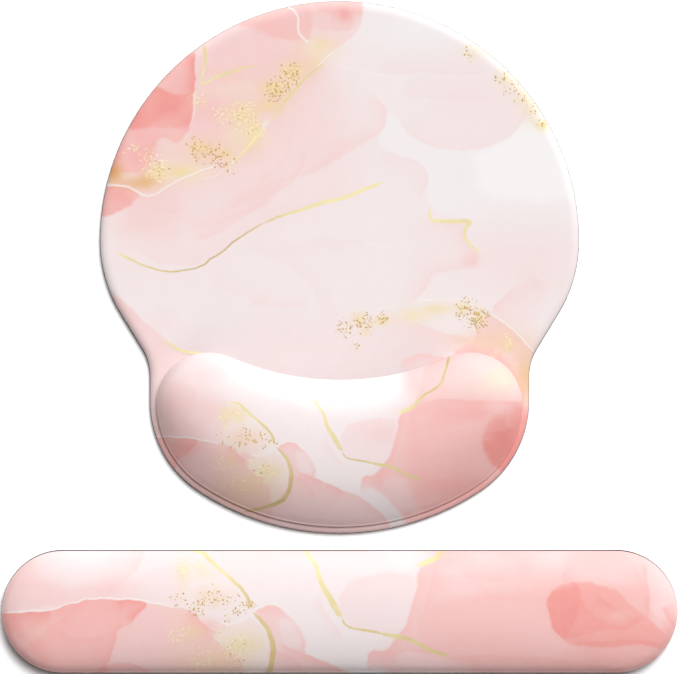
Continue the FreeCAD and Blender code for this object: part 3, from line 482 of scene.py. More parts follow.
def even_loop(corners, spacing):
    """Evenly spaced points on the smooth closed curve through the corners."""
    following = np.roll(corners, -1, axis=0)
    chord = np.linalg.norm(following - corners, axis=1)
    chord_before = np.roll(chord, 1)
    slope = (following - np.roll(corners, 1, axis=0)) / (chord + chord_before)[:, None]
    slope_after = np.roll(slope, -1, axis=0)
    dense = []
    for i in range(len(corners)):
        steps = max(2, int(chord[i] / 0.25))
        t = (np.arange(steps) / steps)[:, None]
        length = chord[i]
        dense.append(
            (2 * t ** 3 - 3 * t ** 2 + 1) * corners[i]
            + (t ** 3 - 2 * t ** 2 + t) * slope[i] * length
            + (3 * t ** 2 - 2 * t ** 3) * following[i]
            + (t ** 3 - t ** 2) * slope_after[i] * length
        )
    dense = np.vstack(dense + [dense[0][:1]])
    run = np.concatenate([[0.0], np.cumsum(np.linalg.norm(np.diff(dense, axis=0), axis=1))])
    count = int(round(run[-1] / spacing))
    places = np.arange(count) / count * run[-1]
    return np.column_stack([np.interp(places, run, dense[:, k]) for k in range(2)])


def outward(loop):
    """Unit normals of a counter-clockwise loop."""
    along = np.roll(loop, -1, axis=0) - np.roll(loop, 1, axis=0)
    along /= np.linalg.norm(along, axis=1)[:, None]
    return np.column_stack([along[:, 1], -along[:, 0]])


def is_inside(points, loop):
    """Which points lie inside a closed loop."""
    x, y = points[:, 0], points[:, 1]
    inside = np.zeros(len(points), bool)
    ahead = np.roll(loop, -1, axis=0)
    for (x1, y1), (x2, y2) in zip(loop, ahead):
        if y1 != y2:
            crosses = (y1 > y) != (y2 > y)
            inside ^= crosses & (x < (x2 - x1) * (y - y1) / (y2 - y1) + x1)
    return inside


def soft_distance(points, loop, power=4.0):
    """A smooth stand-in for the distance to the loop, with no ridge in the middle.

    It equals the distance near an edge and levels off gently between edges.
    """
    spacing = np.linalg.norm(loop[1] - loop[0])
    straight_edge = math.sqrt(math.pi) * math.gamma((power - 1) / 2) / math.gamma(power / 2)
    result = np.empty(len(points))
    for start in range(0, len(points), 2000):
        part = points[start:start + 2000]
        gap = np.hypot(part[:, None, 0] - loop[None, :, 0], part[:, None, 1] - loop[None, :, 1])
        total = (np.maximum(gap, spacing / 4) ** -power).sum(axis=1) * spacing / straight_edge
        result[start:start + 2000] = total ** (-1 / (power - 1))
    return result


# ---------------------------------------------------------------- meshes

def filled_interior(edge, spacing):
    """Triangulate inside a loop with an even net of points; the loop's points come first."""
    low, high = edge.min(axis=0), edge.max(axis=0)
    row_height = spacing * math.sqrt(3) / 2
    net = []
    for row in range(int((high[1] - low[1]) / row_height) + 1):
        shift = spacing / 2 if row % 2 else 0.0
        xs = np.arange(low[0] + shift, high[0], spacing)
        net.append(np.column_stack([xs, np.full(len(xs), low[1] + row * row_height)]))
    net = np.vstack(net)
    margin = edge - outward(edge) * spacing * 0.6
    net = net[is_inside(net, margin)]
    points = np.vstack([edge, net])
    count = len(edge)
    rim_edges = [(i, (i + 1) % count) for i in range(count)]
    result = delaunay_2d_cdt([Vector(p) for p in points], rim_edges, [], 1, 1e-6)
    flat = np.array([tuple(p) for p in result[0]])
    return flat, [tuple(face) for face in result[2]]


def raised(flat, level_of):
    """Points in a plane lifted to the level that a function gives them."""
    return [(x, y, z) for (x, y), z in zip(flat, level_of(flat))]


def ring_faces(ring_count, count):
    """Quads between rings of vertices, each joined to the ring after it."""
    faces = []
    for ring in range(ring_count):
        a, b = ring * count, (ring + 1) * count
        for i in range(count):
            j = (i + 1) % count
            faces.append((a + i, a + j, b + j, b + i))
    return faces


def mesh_object(name, vertices, faces):
    """A smooth-shaded object from vertices in millimetres."""
    mesh = bpy.data.meshes.new(name)
    mesh.from_pydata([Vector(v) * MM for v in vertices], [], faces)
    mesh.validate()
    mesh.shade_smooth()
    obj = bpy.data.objects.new(name, mesh)
    bpy.context.scene.collection.objects.link(obj)
    return obj


def skin_object(name, loop, lower_rings, rise, rise_insets, spacing, inside_spacing=None):
    """A skin over an outline: rings up its side, then an even net over its top.

    lower_rings are (inset, level) from the hem up to the widest place. rise
    gives the level of any point from there on. With an inside spacing the
    first ring is closed by a flat net, and the skin becomes a solid block.
    """
    normal = outward(loop)
    count = len(loop)
    vertices = []
    for inset, level in lower_rings:
        vertices += [(x, y, level) for x, y in loop - normal * inset]
    for inset in rise_insets[:-1]:
        vertices += raised(loop - normal * inset, rise)
    flat, triangles = filled_interior(loop - normal * rise_insets[-1], spacing)
    first = len(vertices)
    vertices += raised(flat, rise)
    faces = ring_faces(len(lower_rings) + len(rise_insets) - 1, count)
    faces += [tuple(first + v for v in triangle) for triangle in triangles]
    if inside_spacing:
        inset, level = lower_rings[0]
        below, triangles = filled_interior(loop - normal * inset, inside_spacing)
        shift = len(vertices) - count
        vertices += [(x, y, level) for x, y in below[count:]]
        faces += [tuple(v if v < count else v + shift for v in reversed(triangle)) for triangle in triangles]
    return mesh_object(name, vertices, faces)


def apply_modifiers(obj):
    """Replace the object's mesh with what its modifiers give."""
    depsgraph = bpy.context.evaluated_depsgraph_get()
    mesh = bpy.data.meshes.new_from_object(obj.evaluated_get(depsgraph))
    obj.modifiers.clear()
    obj.data = mesh
    mesh.shade_smooth()


def positions(obj):
    """The object's vertex positions in millimetres."""
    flat = np.empty(len(obj.data.vertices) * 3)
    obj.data.vertices.foreach_get("co", flat)
    return flat.reshape(-1, 3) / MM


def move_vertices(obj, points):
    """Set the object's vertex positions, given in millimetres."""
    obj.data.vertices.foreach_set("co", (points * MM).ravel())
    obj.data.update()


def evened_out(moved, mesh, held, rounds=25):
    """Moves shared with neighbouring vertices, so that the cloth shows no small creases."""
    ends = np.empty(len(mesh.edges) * 2, int)
    mesh.edges.foreach_get("vertices", ends)
    a, b = ends.reshape(-1, 2).T
    neighbours = np.bincount(np.concatenate([a, b]), minlength=len(moved))[:, None]
    for _ in range(rounds):
        total = np.zeros_like(moved)
        np.add.at(total, a, moved[b])
        np.add.at(total, b, moved[a])
        moved = (moved + total / neighbours) / 2
        moved[held] = 0
    return moved


def add_cloth(obj, held, pressure, frames):
    """A cloth modifier with the held vertices pinned and air inside."""
    group = obj.vertex_groups.new(name="hem")
    group.add([int(i) for i in np.nonzero(held)[0]], 1.0, "REPLACE")
    cloth = obj.modifiers.new("Cloth", "CLOTH")
    settings = cloth.settings
    settings.quality = 6
    settings.mass = 0.2
    settings.tension_stiffness = 30
    settings.compression_stiffness = 30
    settings.shear_stiffness = 15
    settings.bending_stiffness = 2
    settings.use_pressure = True
    settings.uniform_pressure_force = pressure
    settings.vertex_group_mass = "hem"
    settings.effector_weights.gravity = 0
    cloth.collision_settings.use_collision = False
    cloth.collision_settings.use_self_collision = False
    cloth.point_cache.frame_start = 1
    cloth.point_cache.frame_end = frames


def inflate(obj, pinned_below, cap, pressure=4.0, frames=20):
    """Blow the skin up as cloth with its hem held, and cap how far it may move."""
    start = positions(obj)
    held = start[:, 2] < pinned_below
    add_cloth(obj, held, pressure, frames)
    for number in range(1, frames + 1):
        bpy.context.scene.frame_set(number)
    apply_modifiers(obj)
    bpy.context.scene.frame_set(1)
    moved = evened_out(positions(obj) - start, obj.data, held)
    length = np.linalg.norm(moved, axis=1)
    moved *= np.minimum(1.0, cap / np.maximum(length, 1e-9))[:, None]
    move_vertices(obj, start + moved)
    obj.vertex_groups.clear()


def bring_to_height(obj, base, top):
    """Stretch or press everything above a level so that the highest point is at top."""
    points = positions(obj)
    above = points[:, 2] > base
    share = (top - base) / (points[:, 2].max() - base)
    points[above, 2] = base + (points[above, 2] - base) * share
    move_vertices(obj, points)


def refine(obj, levels):
    """Subdivision, applied."""
    modifier = obj.modifiers.new("Subdivision", "SUBSURF")
    modifier.levels = levels
    modifier.render_levels = levels
    apply_modifiers(obj)


def thicken(obj):
    """Give a skin its fabric's thickness, inwards."""
    modifier = obj.modifiers.new("Solidify", "SOLIDIFY")
    modifier.thickness = SKIN_THICKNESS * MM
    modifier.offset = -1
    modifier.use_even_offset = False
    apply_modifiers(obj)


# ---------------------------------------------------------------- camera

def make_camera():
    """Straight above, with a long lens, the set filling the picture from side to side."""
    low, high = CAD_BOX
    data = bpy.data.cameras.new("camera")
    data.sensor_width = 36.0
    data.lens = 250.0
    across = (high.x - low.x) * 1.003
    distance = across * data.lens / data.sensor_width
    camera = bpy.data.objects.new("camera", data)
    camera.location = ((low.x + high.x) / 2, (low.y + high.y) / 2, low.z + 6 * MM + distance)
    data.clip_end = distance * 4
    bpy.context.scene.collection.objects.link(camera)
    bpy.context.scene.camera = camera


make_camera()


# ---------------------------------------------------------------- printing

BLEED_EDGE = 1.3
BLEED_ENDS = 6
BLOOM_FALLOFF = 1.2
LINE_ENDS = 12
LINE_MARGIN = 6.0
FAR = 50.0


def rounded(path, closed=False):
    """Cut the corners off a path twice, so that it bends smoothly."""
    points = np.array(path, float)
    for _ in range(2):
        behind = points if closed else points[:-1]
        ahead = np.roll(points, -1, axis=0) if closed else points[1:]
        cut = np.stack([behind * 0.75 + ahead * 0.25, behind * 0.25 + ahead * 0.75], axis=1).reshape(-1, 2)
        points = cut if closed else np.vstack([points[:1], cut, points[-1:]])
    return points


def beside(points, path):
    """Signed distance to a path, positive on its left, and how far along it from 0 to 1."""
    nearest = np.full(len(points), np.inf)
    side = np.ones(len(points))
    run = np.zeros(len(points))
    passed = 0.0
    for corner, step in zip(path[:-1], np.diff(path, axis=0)):
        length = math.hypot(*step)
        across = points - corner
        share = np.clip(across @ step / length ** 2, 0, 1)
        gap = np.linalg.norm(across - share[:, None] * step, axis=1)
        closer = gap < nearest
        nearest[closer] = gap[closer]
        left = step[0] * across[:, 1] - step[1] * across[:, 0]
        side[closer] = np.where(left[closer] >= 0, 1.0, -1.0)
        run[closer] = passed + share[closer] * length
        passed += length
    return nearest * side, run / passed


def close_to(points, path, reach):
    """Which points lie in the path's box, grown by a reach."""
    return ((points > path.min(axis=0) - reach) & (points < path.max(axis=0) + reach)).all(axis=1)


def smooth(share):
    """Ease a share between 0 and 1."""
    share = np.clip(share, 0, 1)
    return share * share * (3 - 2 * share)


def wandering(points):
    """The points moved by a little noise, so that drawn edges come out ragged."""
    moved = points.copy()
    for size, amount in ((17.0, 1.3), (5.0, 0.9), (1.9, 0.35)):
        shifts = [noise.noise_vector(Vector((x / size, y / size, size)))[:2] for x, y in points]
        moved += np.array(shifts) * amount
    return moved


def stain(ink, places, colour, strength):
    """Move the ink at some places towards a colour by a strength there."""
    ink[places] += (np.array(colour) - ink[places]) * strength[:, None]


def add_wash(ink, ragged, wash):
    """Stain the inside of an outline."""
    colour, inside, edge, fade, softness, outline = wash
    loop = rounded(outline, closed=True)
    loop = np.vstack([loop, loop[:1]])
    turn = (loop[:-1, 0] * loop[1:, 1] - loop[1:, 0] * loop[:-1, 1]).sum()
    near = close_to(ragged, loop, softness)
    depth = beside(ragged[near], loop)[0] * np.sign(turn)
    strength = inside + (edge - inside) * np.exp(-np.maximum(depth, 0) / fade)
    strength *= smooth(depth / softness + 0.5)
    stain(ink, near, colour, strength)


def add_bleed(ink, ragged, bleed):
    """Stain the left side of a path, fading away from it and towards its ends."""
    colour, amount, reach, path = bleed
    curve = rounded(path)
    near = close_to(ragged, curve, reach * 3)
    depth, run = beside(ragged[near], curve)
    strength = amount * np.exp(-np.maximum(depth, 0) / reach) * smooth(depth / BLEED_EDGE + 0.5)
    strength *= smooth(run * BLEED_ENDS) * smooth((1 - run) * BLEED_ENDS)
    stain(ink, near, colour, strength)


def add_bloom(ink, ragged, bloom):
    """Stain round a point."""
    colour, amount, x, y, half_width, half_height = bloom
    away = (ragged[:, 0] - x) ** 2 / half_width ** 2 + (ragged[:, 1] - y) ** 2 / half_height ** 2
    stain(ink, slice(None), colour, amount * np.exp(-away * BLOOM_FALLOFF))


def painted(points, design):
    """Ink colours of a design at the points."""
    ink = np.tile(np.array(PAPER, float), (len(points), 1))
    ragged = wandering(points)
    for wash in design["washes"]:
        add_wash(ink, ragged, wash)
    for bleed in design["bleeds"]:
        add_bleed(ink, ragged, bleed)
    for bloom in design["blooms"]:
        add_bloom(ink, ragged, bloom)
    return ink


def drawn_lines(points, lines):
    """Signed distance, half width and brightness of the nearest line at each point."""
    found = np.zeros((len(points), 3))
    found[:, 0] = FAR
    for widths, brightness, path in lines:
        curve = rounded(path)
        near = np.nonzero(close_to(points, curve, LINE_MARGIN))[0]
        side, run = beside(points[near], curve)
        ends = smooth(np.minimum(run, 1 - run) * LINE_ENDS + 0.35)
        width = np.interp(run, np.linspace(0, 1, len(widths)), widths) * ends
        bright = np.interp(run, np.linspace(0, 1, len(brightness)), brightness)
        better = np.abs(side) - width < np.abs(found[near, 0]) - found[near, 1]
        found[near[better]] = np.column_stack([side, width, bright])[better]
    return found


def fleck_shares(points, flecks):
    """Share of dark gold and of cream flecks at each point; the third number stays empty."""
    shares = np.zeros((len(points), 3))
    for x, y, reach, dark, light in flecks:
        away = np.hypot(points[:, 0] - x, points[:, 1] - y) / reach
        cover = smooth(1.45 - away * 1.25)
        shares[:, 0] = np.maximum(shares[:, 0], dark * cover)
        shares[:, 1] = np.maximum(shares[:, 1], light * cover)
    return shares


def set_attribute(mesh, name, kind, values):
    """Store values on the mesh's vertices under a name that materials can read."""
    attribute = mesh.attributes.new(name, kind, "POINT")
    field = "color" if kind == "FLOAT_COLOR" else "vector"
    attribute.data.foreach_set(field, values.astype(np.float32).ravel())


def linear(colour):
    """Display colours from 0 to 255, as linear light."""
    share = np.clip(colour / 255, 0, 1)
    return np.where(share <= 0.04045, share / 12.92, ((share + 0.055) / 1.055) ** 2.4)


def print_layers(points, design):
    """The colour, the veins, the tears and the flecks of a design at the points."""
    half_ragged = (points + wandering(points)) / 2
    tears = [((width,) * 3, (1, 1), path) for width, path in design["tears"]]
    return [painted(points, design), drawn_lines(half_ragged, design["veins"]),
            drawn_lines(half_ragged, tears), fleck_shares(points, design["flecks"])]


def store_print(mesh, layers):
    """Put a print's layers on a mesh."""
    colour, veins, tears, flecks = layers
    set_attribute(mesh, "ink", "FLOAT_COLOR", np.column_stack([linear(colour), np.ones(len(colour))]))
    set_attribute(mesh, "vein", "FLOAT_VECTOR", veins)
    set_attribute(mesh, "tear", "FLOAT_VECTOR", tears)
    set_attribute(mesh, "flecks", "FLOAT_VECTOR", flecks)


PAD_DESIGN = {"washes": PAD_WASHES, "bleeds": PAD_BLEEDS, "blooms": PAD_BLOOMS,
              "veins": PAD_VEINS, "tears": PAD_TEARS, "flecks": PAD_FLECKS}
# The bar's bleeds include the painted shade along its rear edge.
BAR_DESIGN = {"washes": BAR_WASHES, "bleeds": BAR_BLEEDS + REAR_PAINTED_SHADE, "blooms": BAR_BLOOMS,
              "veins": BAR_VEINS, "tears": BAR_TEARS, "flecks": BAR_FLECKS}
CUSHION_DESIGN = {**BAR_DESIGN, "washes": BAR_WASHES + CUSHION_WASHES,
                  "bleeds": BAR_BLEEDS + CUSHION_BLEEDS, "blooms": BAR_BLOOMS + CUSHION_BLOOMS}

# The cushion and the pad's front lip carry the bar's design at a smaller scale.
SMALL_SCALE = 0.74
SMALL_CENTRE = (0.7, -71.6)
LIP_STARTS = -40.0
LIP_BLEND = 16.0


def small_places(points):
    """Where points on the cushion and the lip lie in the bar's design."""
    return (points - SMALL_CENTRE) / SMALL_SCALE


def print_bar(obj):
    """Print the bar's design on the keyboard rest."""
    low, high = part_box("rest_cover")
    centre = np.array([low.x + high.x, low.y + high.y]) / 2 / MM
    store_print(obj.data, print_layers(positions(obj)[:, :2] - centre, BAR_DESIGN))


def print_cushion(obj):
    """Print the small bar design on the cushion."""
    store_print(obj.data, print_layers(small_places(positions(obj)[:, :2]), CUSHION_DESIGN))


def print_pad(obj):
    """Print the pad's design, and the small bar design on its front lip."""
    points = positions(obj)[:, :2]
    layers = print_layers(points, PAD_DESIGN)
    share = smooth((LIP_STARTS - points[:, 1]) / LIP_BLEND)
    lip = share > 0
    small = print_layers(small_places(points[lip]), CUSHION_DESIGN)
    layers[0][lip] += (small[0] - layers[0][lip]) * share[lip][:, None]
    mostly = share[lip] > 0.5
    for layer, other in zip(layers[1:], small[1:]):
        layer[np.nonzero(lip)[0][mostly]] = other[mostly]
    store_print(obj.data, layers)


# ---------------------------------------------------------------- materials

class Nodes:
    """Short ways to add and join shader nodes in one material."""

    def __init__(self, name):
        self.material = bpy.data.materials.new(name)
        self.material.use_nodes = True
        self.tree = self.material.node_tree
        self.shader = self.tree.nodes["Principled BSDF"]

    def add(self, kind, inputs=None, **settings):
        node = self.tree.nodes.new("ShaderNode" + kind)
        for key, value in settings.items():
            setattr(node, key, value)
        for key, value in (inputs or {}).items():
            self.give(node.inputs[key], value)
        return node

    def give(self, socket, value):
        if isinstance(value, bpy.types.NodeSocket):
            self.tree.links.new(value, socket)
        else:
            socket.default_value = value

    def math(self, operation, a, b=0.0, c=0.0, clamp=False):
        node = self.add("Math", {0: a, 1: b, 2: c}, operation=operation, use_clamp=clamp)
        return node.outputs[0]

    def ramp(self, value, low, high, to_low=0.0, to_high=1.0, smooth=True):
        inputs = {"Value": value, "From Min": low, "From Max": high, "To Min": to_low, "To Max": to_high}
        kind = "SMOOTHSTEP" if smooth else "LINEAR"
        return self.add("MapRange", inputs, interpolation_type=kind).outputs["Result"]

    def mix(self, share, a, b, blend="MIX"):
        node = self.add("Mix", data_type="RGBA", blend_type=blend)
        self.give(node.inputs["Factor"], share)
        self.give(node.inputs["A"], a)
        self.give(node.inputs["B"], b)
        return node.outputs["Result"]

    def places(self, cell):
        """Object coordinates divided by a cell size in millimetres."""
        coords = self.add("TexCoord").outputs["Object"]
        scaled = self.add("VectorMath", {0: coords, "Scale": 1 / (cell * MM)}, operation="SCALE")
        return scaled.outputs["Vector"]

    def noise(self, cell, detail=3.0, roughness=0.5):
        """Fractal noise from 0 to 1 with features about a cell wide, in millimetres."""
        inputs = {"Vector": self.places(cell), "Scale": 1.0, "Detail": detail, "Roughness": roughness}
        return self.add("TexNoise", inputs).outputs["Fac"]

    def cells(self, cell, feature="F1"):
        """Voronoi cells about a cell wide, in millimetres."""
        return self.add("TexVoronoi", {"Vector": self.places(cell), "Scale": 1.0}, feature=feature)

    def layer(self, name):
        """The three parts of a print layer stored on the mesh."""
        vector = self.add("Attribute", attribute_name=name).outputs["Vector"]
        return self.add("SeparateXYZ", {0: vector}).outputs

    def bump(self, height, strength, distance):
        inputs = {"Height": height, "Strength": strength, "Distance": distance * MM}
        return self.add("Bump", inputs).outputs["Normal"]

    def finish(self, colour, roughness, normal, **uniform):
        self.give(self.shader.inputs["Base Color"], colour)
        self.give(self.shader.inputs["Roughness"], roughness)
        self.give(self.shader.inputs["Normal"], normal)
        for key, value in uniform.items():
            self.shader.inputs[key.replace("_", " ")].default_value = value
        return self.material


INK_STRENGTH = 0.70
KNIT_PITCH = 0.45
FLAKE_CELL = 1.35

# Colours of the print's parts, in linear light.
TEAR_WHITE = (0.98, 0.90, 0.87, 1)
FOIL_DARK = (0.48, 0.27, 0.06, 1)
FOIL_BRIGHT = (0.97, 0.86, 0.46, 1)
DUST_GOLD = (0.93, 0.74, 0.38, 1)
FLAKE_CREAM = (1.0, 0.90, 0.60, 1)
FLAKE_DARK = (0.60, 0.38, 0.10, 1)
# A grey for painted shade in the knit's hollows, not a colour of the print.
KNIT_SHADE = (0.55, 0.5, 0.5, 1)


def knit(n):
    """Height of a fine knit: rows of loops that lean both ways, from 0 to 1."""
    parts = n.add("SeparateXYZ", {0: n.places(KNIT_PITCH)}).outputs
    across = n.math("SINE", n.math("MULTIPLY", n.math("ADD", parts["X"], parts["Z"]), math.tau))
    along = n.math("SINE", n.math("MULTIPLY", n.math("ADD", parts["Y"], parts["Z"]), math.tau))
    woven = n.math("MULTIPLY", across, along)
    return n.math("MULTIPLY_ADD", woven, 0.5, 0.5)


def line_cover(n, layer, ragged, softness):
    """How much a drawn line covers, from its signed distance and half width in mm."""
    width = n.math("ADD", layer["Y"], n.math("MULTIPLY_ADD", ragged, 0.7, -0.35))
    inside = n.math("SUBTRACT", width, n.math("ABSOLUTE", layer["X"]))
    cover = n.ramp(inside, -softness, softness)
    drawn = n.ramp(layer["Y"], 0.05, 0.25)
    return n.math("MULTIPLY", cover, drawn)


def torn_and_veined(n, washed, bleed, fine):
    """White tears and gold veins over a wash; gives the colour and how much is vein."""
    tear = line_cover(n, n.layer("tear"), fine, 0.35)
    torn = n.mix(n.math("MULTIPLY", tear, 0.85), washed, TEAR_WHITE)
    vein_layer = n.layer("vein")
    vein = line_cover(n, vein_layer, fine, 0.3)
    shine = n.math("ADD", vein_layer["Z"], n.math("MULTIPLY_ADD", bleed, 0.5, -0.25), clamp=True)
    foil = n.mix(shine, FOIL_DARK, FOIL_BRIGHT)
    return n.mix(n.math("MULTIPLY", vein, 0.92), torn, foil), vein


def flecked(n, under):
    """Gold dust and flakes over a colour, where the flecks layer has a share."""
    shares = n.layer("flecks")
    share = n.math("ADD", shares["X"], shares["Y"])
    dust = n.math("MULTIPLY", share, n.ramp(n.noise(3.5), 0.42, 0.6))
    dusted = n.mix(n.math("MULTIPLY", dust, 0.35, clamp=True), under, DUST_GOLD)
    flakes = n.cells(FLAKE_CELL)
    chance = n.add("SeparateColor", {0: flakes.outputs["Color"]}).outputs
    chosen = n.math("LESS_THAN", chance["Red"], n.math("MULTIPLY", share, 0.8))
    size = n.math("MULTIPLY_ADD", chance["Green"], 0.3, 0.26)
    spot = n.ramp(n.math("SUBTRACT", size, flakes.outputs["Distance"]), -0.06, 0.06)
    dark = n.math("LESS_THAN", n.math("MULTIPLY", chance["Blue"], share), shares["X"])
    flake = n.mix(dark, FLAKE_CREAM, FLAKE_DARK)
    return n.mix(n.math("MULTIPLY", n.math("MULTIPLY", spot, chosen), 0.9), dusted, flake)


def printed_fabric():
    """Knitted polyester with a dye print: washes, white tears, gold veins and flecks."""
    n = Nodes("printed_fabric")
    ink = n.add("Attribute", attribute_name="ink").outputs["Color"]
    bleed = n.noise(9.0, 6.0, 0.6)
    fine = n.noise(1.3, 4.0, 0.6)
    washed = n.mix(n.ramp(bleed, 0.3, 0.7, 0.0, 0.10), ink, ink, "MULTIPLY")
    veined, vein = torn_and_veined(n, washed, bleed, fine)
    printed = flecked(n, veined)
    knitted = knit(n)
    # Painted shade: the knit's hollows are made a little darker.
    shaded = n.mix(n.ramp(knitted, 0.0, 1.0, 0.05, 0.0), printed, KNIT_SHADE, "MULTIPLY")
    toned = n.mix(1.0, shaded, (INK_STRENGTH,) * 3 + (1,), "MULTIPLY")
    roughness = n.ramp(vein, 0.0, 1.0, 0.72, 0.5)
    normal = n.bump(n.math("MULTIPLY_ADD", fine, 0.4, knitted), 0.25, 0.08)
    return n.finish(toned, roughness, normal, Specular_IOR_Level=0.2, Sheen_Weight=0.06, Sheen_Roughness=0.5)


def foam():
    """Slow-rebound foam with fine open cells."""
    n = Nodes("foam")
    cell = n.cells(0.7)
    fleck = n.add("SeparateColor", {0: cell.outputs["Color"]}).outputs["Red"]
    tone = n.mix(n.noise(14.0), (0.70, 0.68, 0.62, 1), (0.80, 0.78, 0.72, 1))
    colour = n.mix(n.math("MULTIPLY", fleck, 0.15), tone, (0.5, 0.48, 0.43, 1))
    height = n.ramp(cell.outputs["Distance"], 0.0, 0.7)
    return n.finish(colour, n.ramp(fleck, 0.0, 1.0, 0.85, 0.95), n.bump(height, 0.6, 0.25),
                    Specular_IOR_Level=0.15)


def grip_rubber():
    """Black rubber with a raised wavy grip pattern and a dusty bloom."""
    n = Nodes("grip_rubber")
    wave_inputs = {"Vector": n.places(2.4), "Scale": 1.0, "Distortion": 1.6, "Detail": 1.0}
    ridges = n.add("TexWave", wave_inputs, wave_type="BANDS", bands_direction="DIAGONAL").outputs["Fac"]
    dust = n.noise(20.0, 5.0)
    grain = n.noise(0.5, 3.0)
    tone = n.mix(dust, (0.012, 0.012, 0.013, 1), (0.032, 0.031, 0.031, 1))
    colour = n.mix(n.math("MULTIPLY", ridges, 0.3), tone, (0.05, 0.05, 0.05, 1))
    height = n.math("MULTIPLY_ADD", grain, 0.2, ridges)
    return n.finish(colour, n.ramp(grain, 0.2, 0.8, 0.62, 0.82), n.bump(height, 0.5, 0.3),
                    Specular_IOR_Level=0.3)


def glue():
    """Dried glue: milky, in slightly uneven swirls."""
    n = Nodes("glue")
    swirl = n.noise(6.0, 4.0)
    grain = n.noise(0.8, 2.0)
    colour = n.mix(swirl, (0.62, 0.58, 0.46, 1), (0.78, 0.75, 0.64, 1))
    return n.finish(colour, n.ramp(grain, 0.2, 0.8, 0.3, 0.5), n.bump(swirl, 0.3, 0.1),
                    Specular_IOR_Level=0.4)


def wear(obj, material):
    """Put one material on a piece."""
    obj.data.materials.clear()
    obj.data.materials.append(material)
    obj.data.polygons.foreach_set("material_index", [0] * len(obj.data.polygons))


# ---------------------------------------------------------------- pieces

def rim_level(inset, widest, top, width):
    """Level of a pad's rounded rim at an inset from its outline."""
    gap = min(inset / width, 1.0)
    return widest + (top - widest) * math.sqrt(1 - (1 - gap) ** 2.2)


def dome_rise(points, edge_loop, widest, top, form):
    """A crowned cushion: steep at its edge, levelling off towards the middle."""
    reach, fullness = form(points)
    gap = np.minimum(soft_distance(points, edge_loop) / reach, 1.0)
    return widest + (top - widest) * (1 - (1 - gap) ** 2.1) ** fullness


def make_pad_skin():
    """The pad's cover: round its rim, over its top, and a coarser net on its inner face."""
    loop = even_loop(sheet_corners("pad_base"), PAD_SPACING)
    loop = loop - outward(loop) * EDGE_SHOWING
    low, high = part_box("pad_cover")
    hem, top = low.z / MM, high.z / MM
    outside = [(inset, rim_level(inset, RIM_WIDEST_LEVEL, top, RIM_WIDTH))
               for inset in (0.0, 0.12, 0.45, 1.0, 1.9, 3.1, 4.5)]
    inside = [(inset + SKIN_THICKNESS, level - SKIN_THICKNESS) for inset, level in reversed(outside[2:])]
    inside += [(SKIN_THICKNESS, RIM_WIDEST_LEVEL - 0.4), (SKIN_THICKNESS + 0.35, hem)]
    flat_inside = (RIM_WIDTH + SKIN_THICKNESS, top - SKIN_THICKNESS)
    rings = [flat_inside] + inside + [(0.35, hem), (0.1, hem + 0.7)] + outside
    rise = lambda points: np.full(len(points), top)
    return skin_object("pad_skin", loop, rings, rise, [RIM_WIDTH], PAD_SPACING, PAD_INSIDE_SPACING)


def make_pad_foam():
    """The foam sheet inside the pad's cover."""
    low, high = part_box("pad_foam")
    loop = even_loop(sheet_corners("pad_base"), FOAM_SPACING)
    loop = loop - outward(loop) * (EDGE_SHOWING + SKIN_THICKNESS + 0.5)
    bottom, top = low.z / MM, high.z / MM
    widest = bottom + 1.3
    rings = [(0.2, bottom)] + [(inset, rim_level(inset, widest, top, RIM_WIDTH))
                               for inset in (0.0, 0.6, 1.6, 3.2)]
    rise = lambda points: np.full(len(points), top)
    return skin_object("pad_foam_sheet", loop, rings, rise, [RIM_WIDTH], FOAM_SPACING, FOAM_SPACING * 2)


def make_dome_skin(name, loop, hem, widest, top, form, tuck, spacing):
    """The inflated cover of one cushion, not yet thickened."""
    start_top = widest + (top - widest) * 0.94
    rise = lambda points: dome_rise(points, loop, widest, start_top, form)
    lower = [(tuck, hem), (tuck * 0.45, hem + (widest - hem) * 0.3),
             (tuck * 0.1, hem + (widest - hem) * 0.65), (0.0, widest)]
    skin = skin_object(name, loop, lower, rise, [0.25, 0.9, 2.2, 4.2], spacing)
    inflate(skin, widest + 0.1, MOST_STRETCH)
    refine(skin, 2)
    bring_to_height(skin, widest, top)
    return skin


def make_dome_foam(name, loop, bottom, widest, top, form):
    """The foam block inside a cushion's cover."""
    inner = loop - outward(loop) * (SKIN_THICKNESS + 1.0)
    rise = lambda points: dome_rise(points, inner, widest, top, form)
    lower = [(1.2, bottom), (0.0, widest)]
    return skin_object(name, inner, lower, rise, [0.6, 1.8, 3.6], FOAM_SPACING, FOAM_SPACING * 2)


def cushion_form(points):
    """How far in the wrist cushion keeps rising, and how full it is at its edge.

    It has a short full slope behind and a long straighter one in front.
    """
    front = smooth((-30.0 - points[:, 1]) / 60.0)
    return 30.0 + 17.0 * front, 0.5 + 0.42 * front


def rest_form(points):
    """The same for the keyboard rest, which is alike all round."""
    return np.full(len(points), 34.0), 0.39


def cushion_loop(spacing):
    """Outline of the wrist cushion where it is widest."""
    loop = even_loop(sheet_corners("cushion_glue_film"), spacing)
    grow = (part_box("cushion_cover")[1].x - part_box("cushion_glue_film")[1].x) / MM
    return loop + outward(loop) * grow


def rest_loop(spacing):
    """Outline of the keyboard rest where it is widest."""
    loop = even_loop(sheet_corners("rest_base"), spacing)
    return loop - outward(loop) * EDGE_SHOWING


def belongs(piece, body, node):
    """The piece rides on a body and stands for a CAD node."""
    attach(piece, body)
    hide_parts(node)


FABRIC = printed_fabric()
FOAM = foam()
RUBBER = grip_rubber()
GLUE = glue()


def build_pad():
    """The pad's cover and foam."""
    skin = make_pad_skin()
    print_pad(skin)
    wear(skin, FABRIC)
    belongs(skin, PAD_BODY, "pad_cover")
    core = make_pad_foam()
    wear(core, FOAM)
    belongs(core, PAD_BODY, "pad_foam")


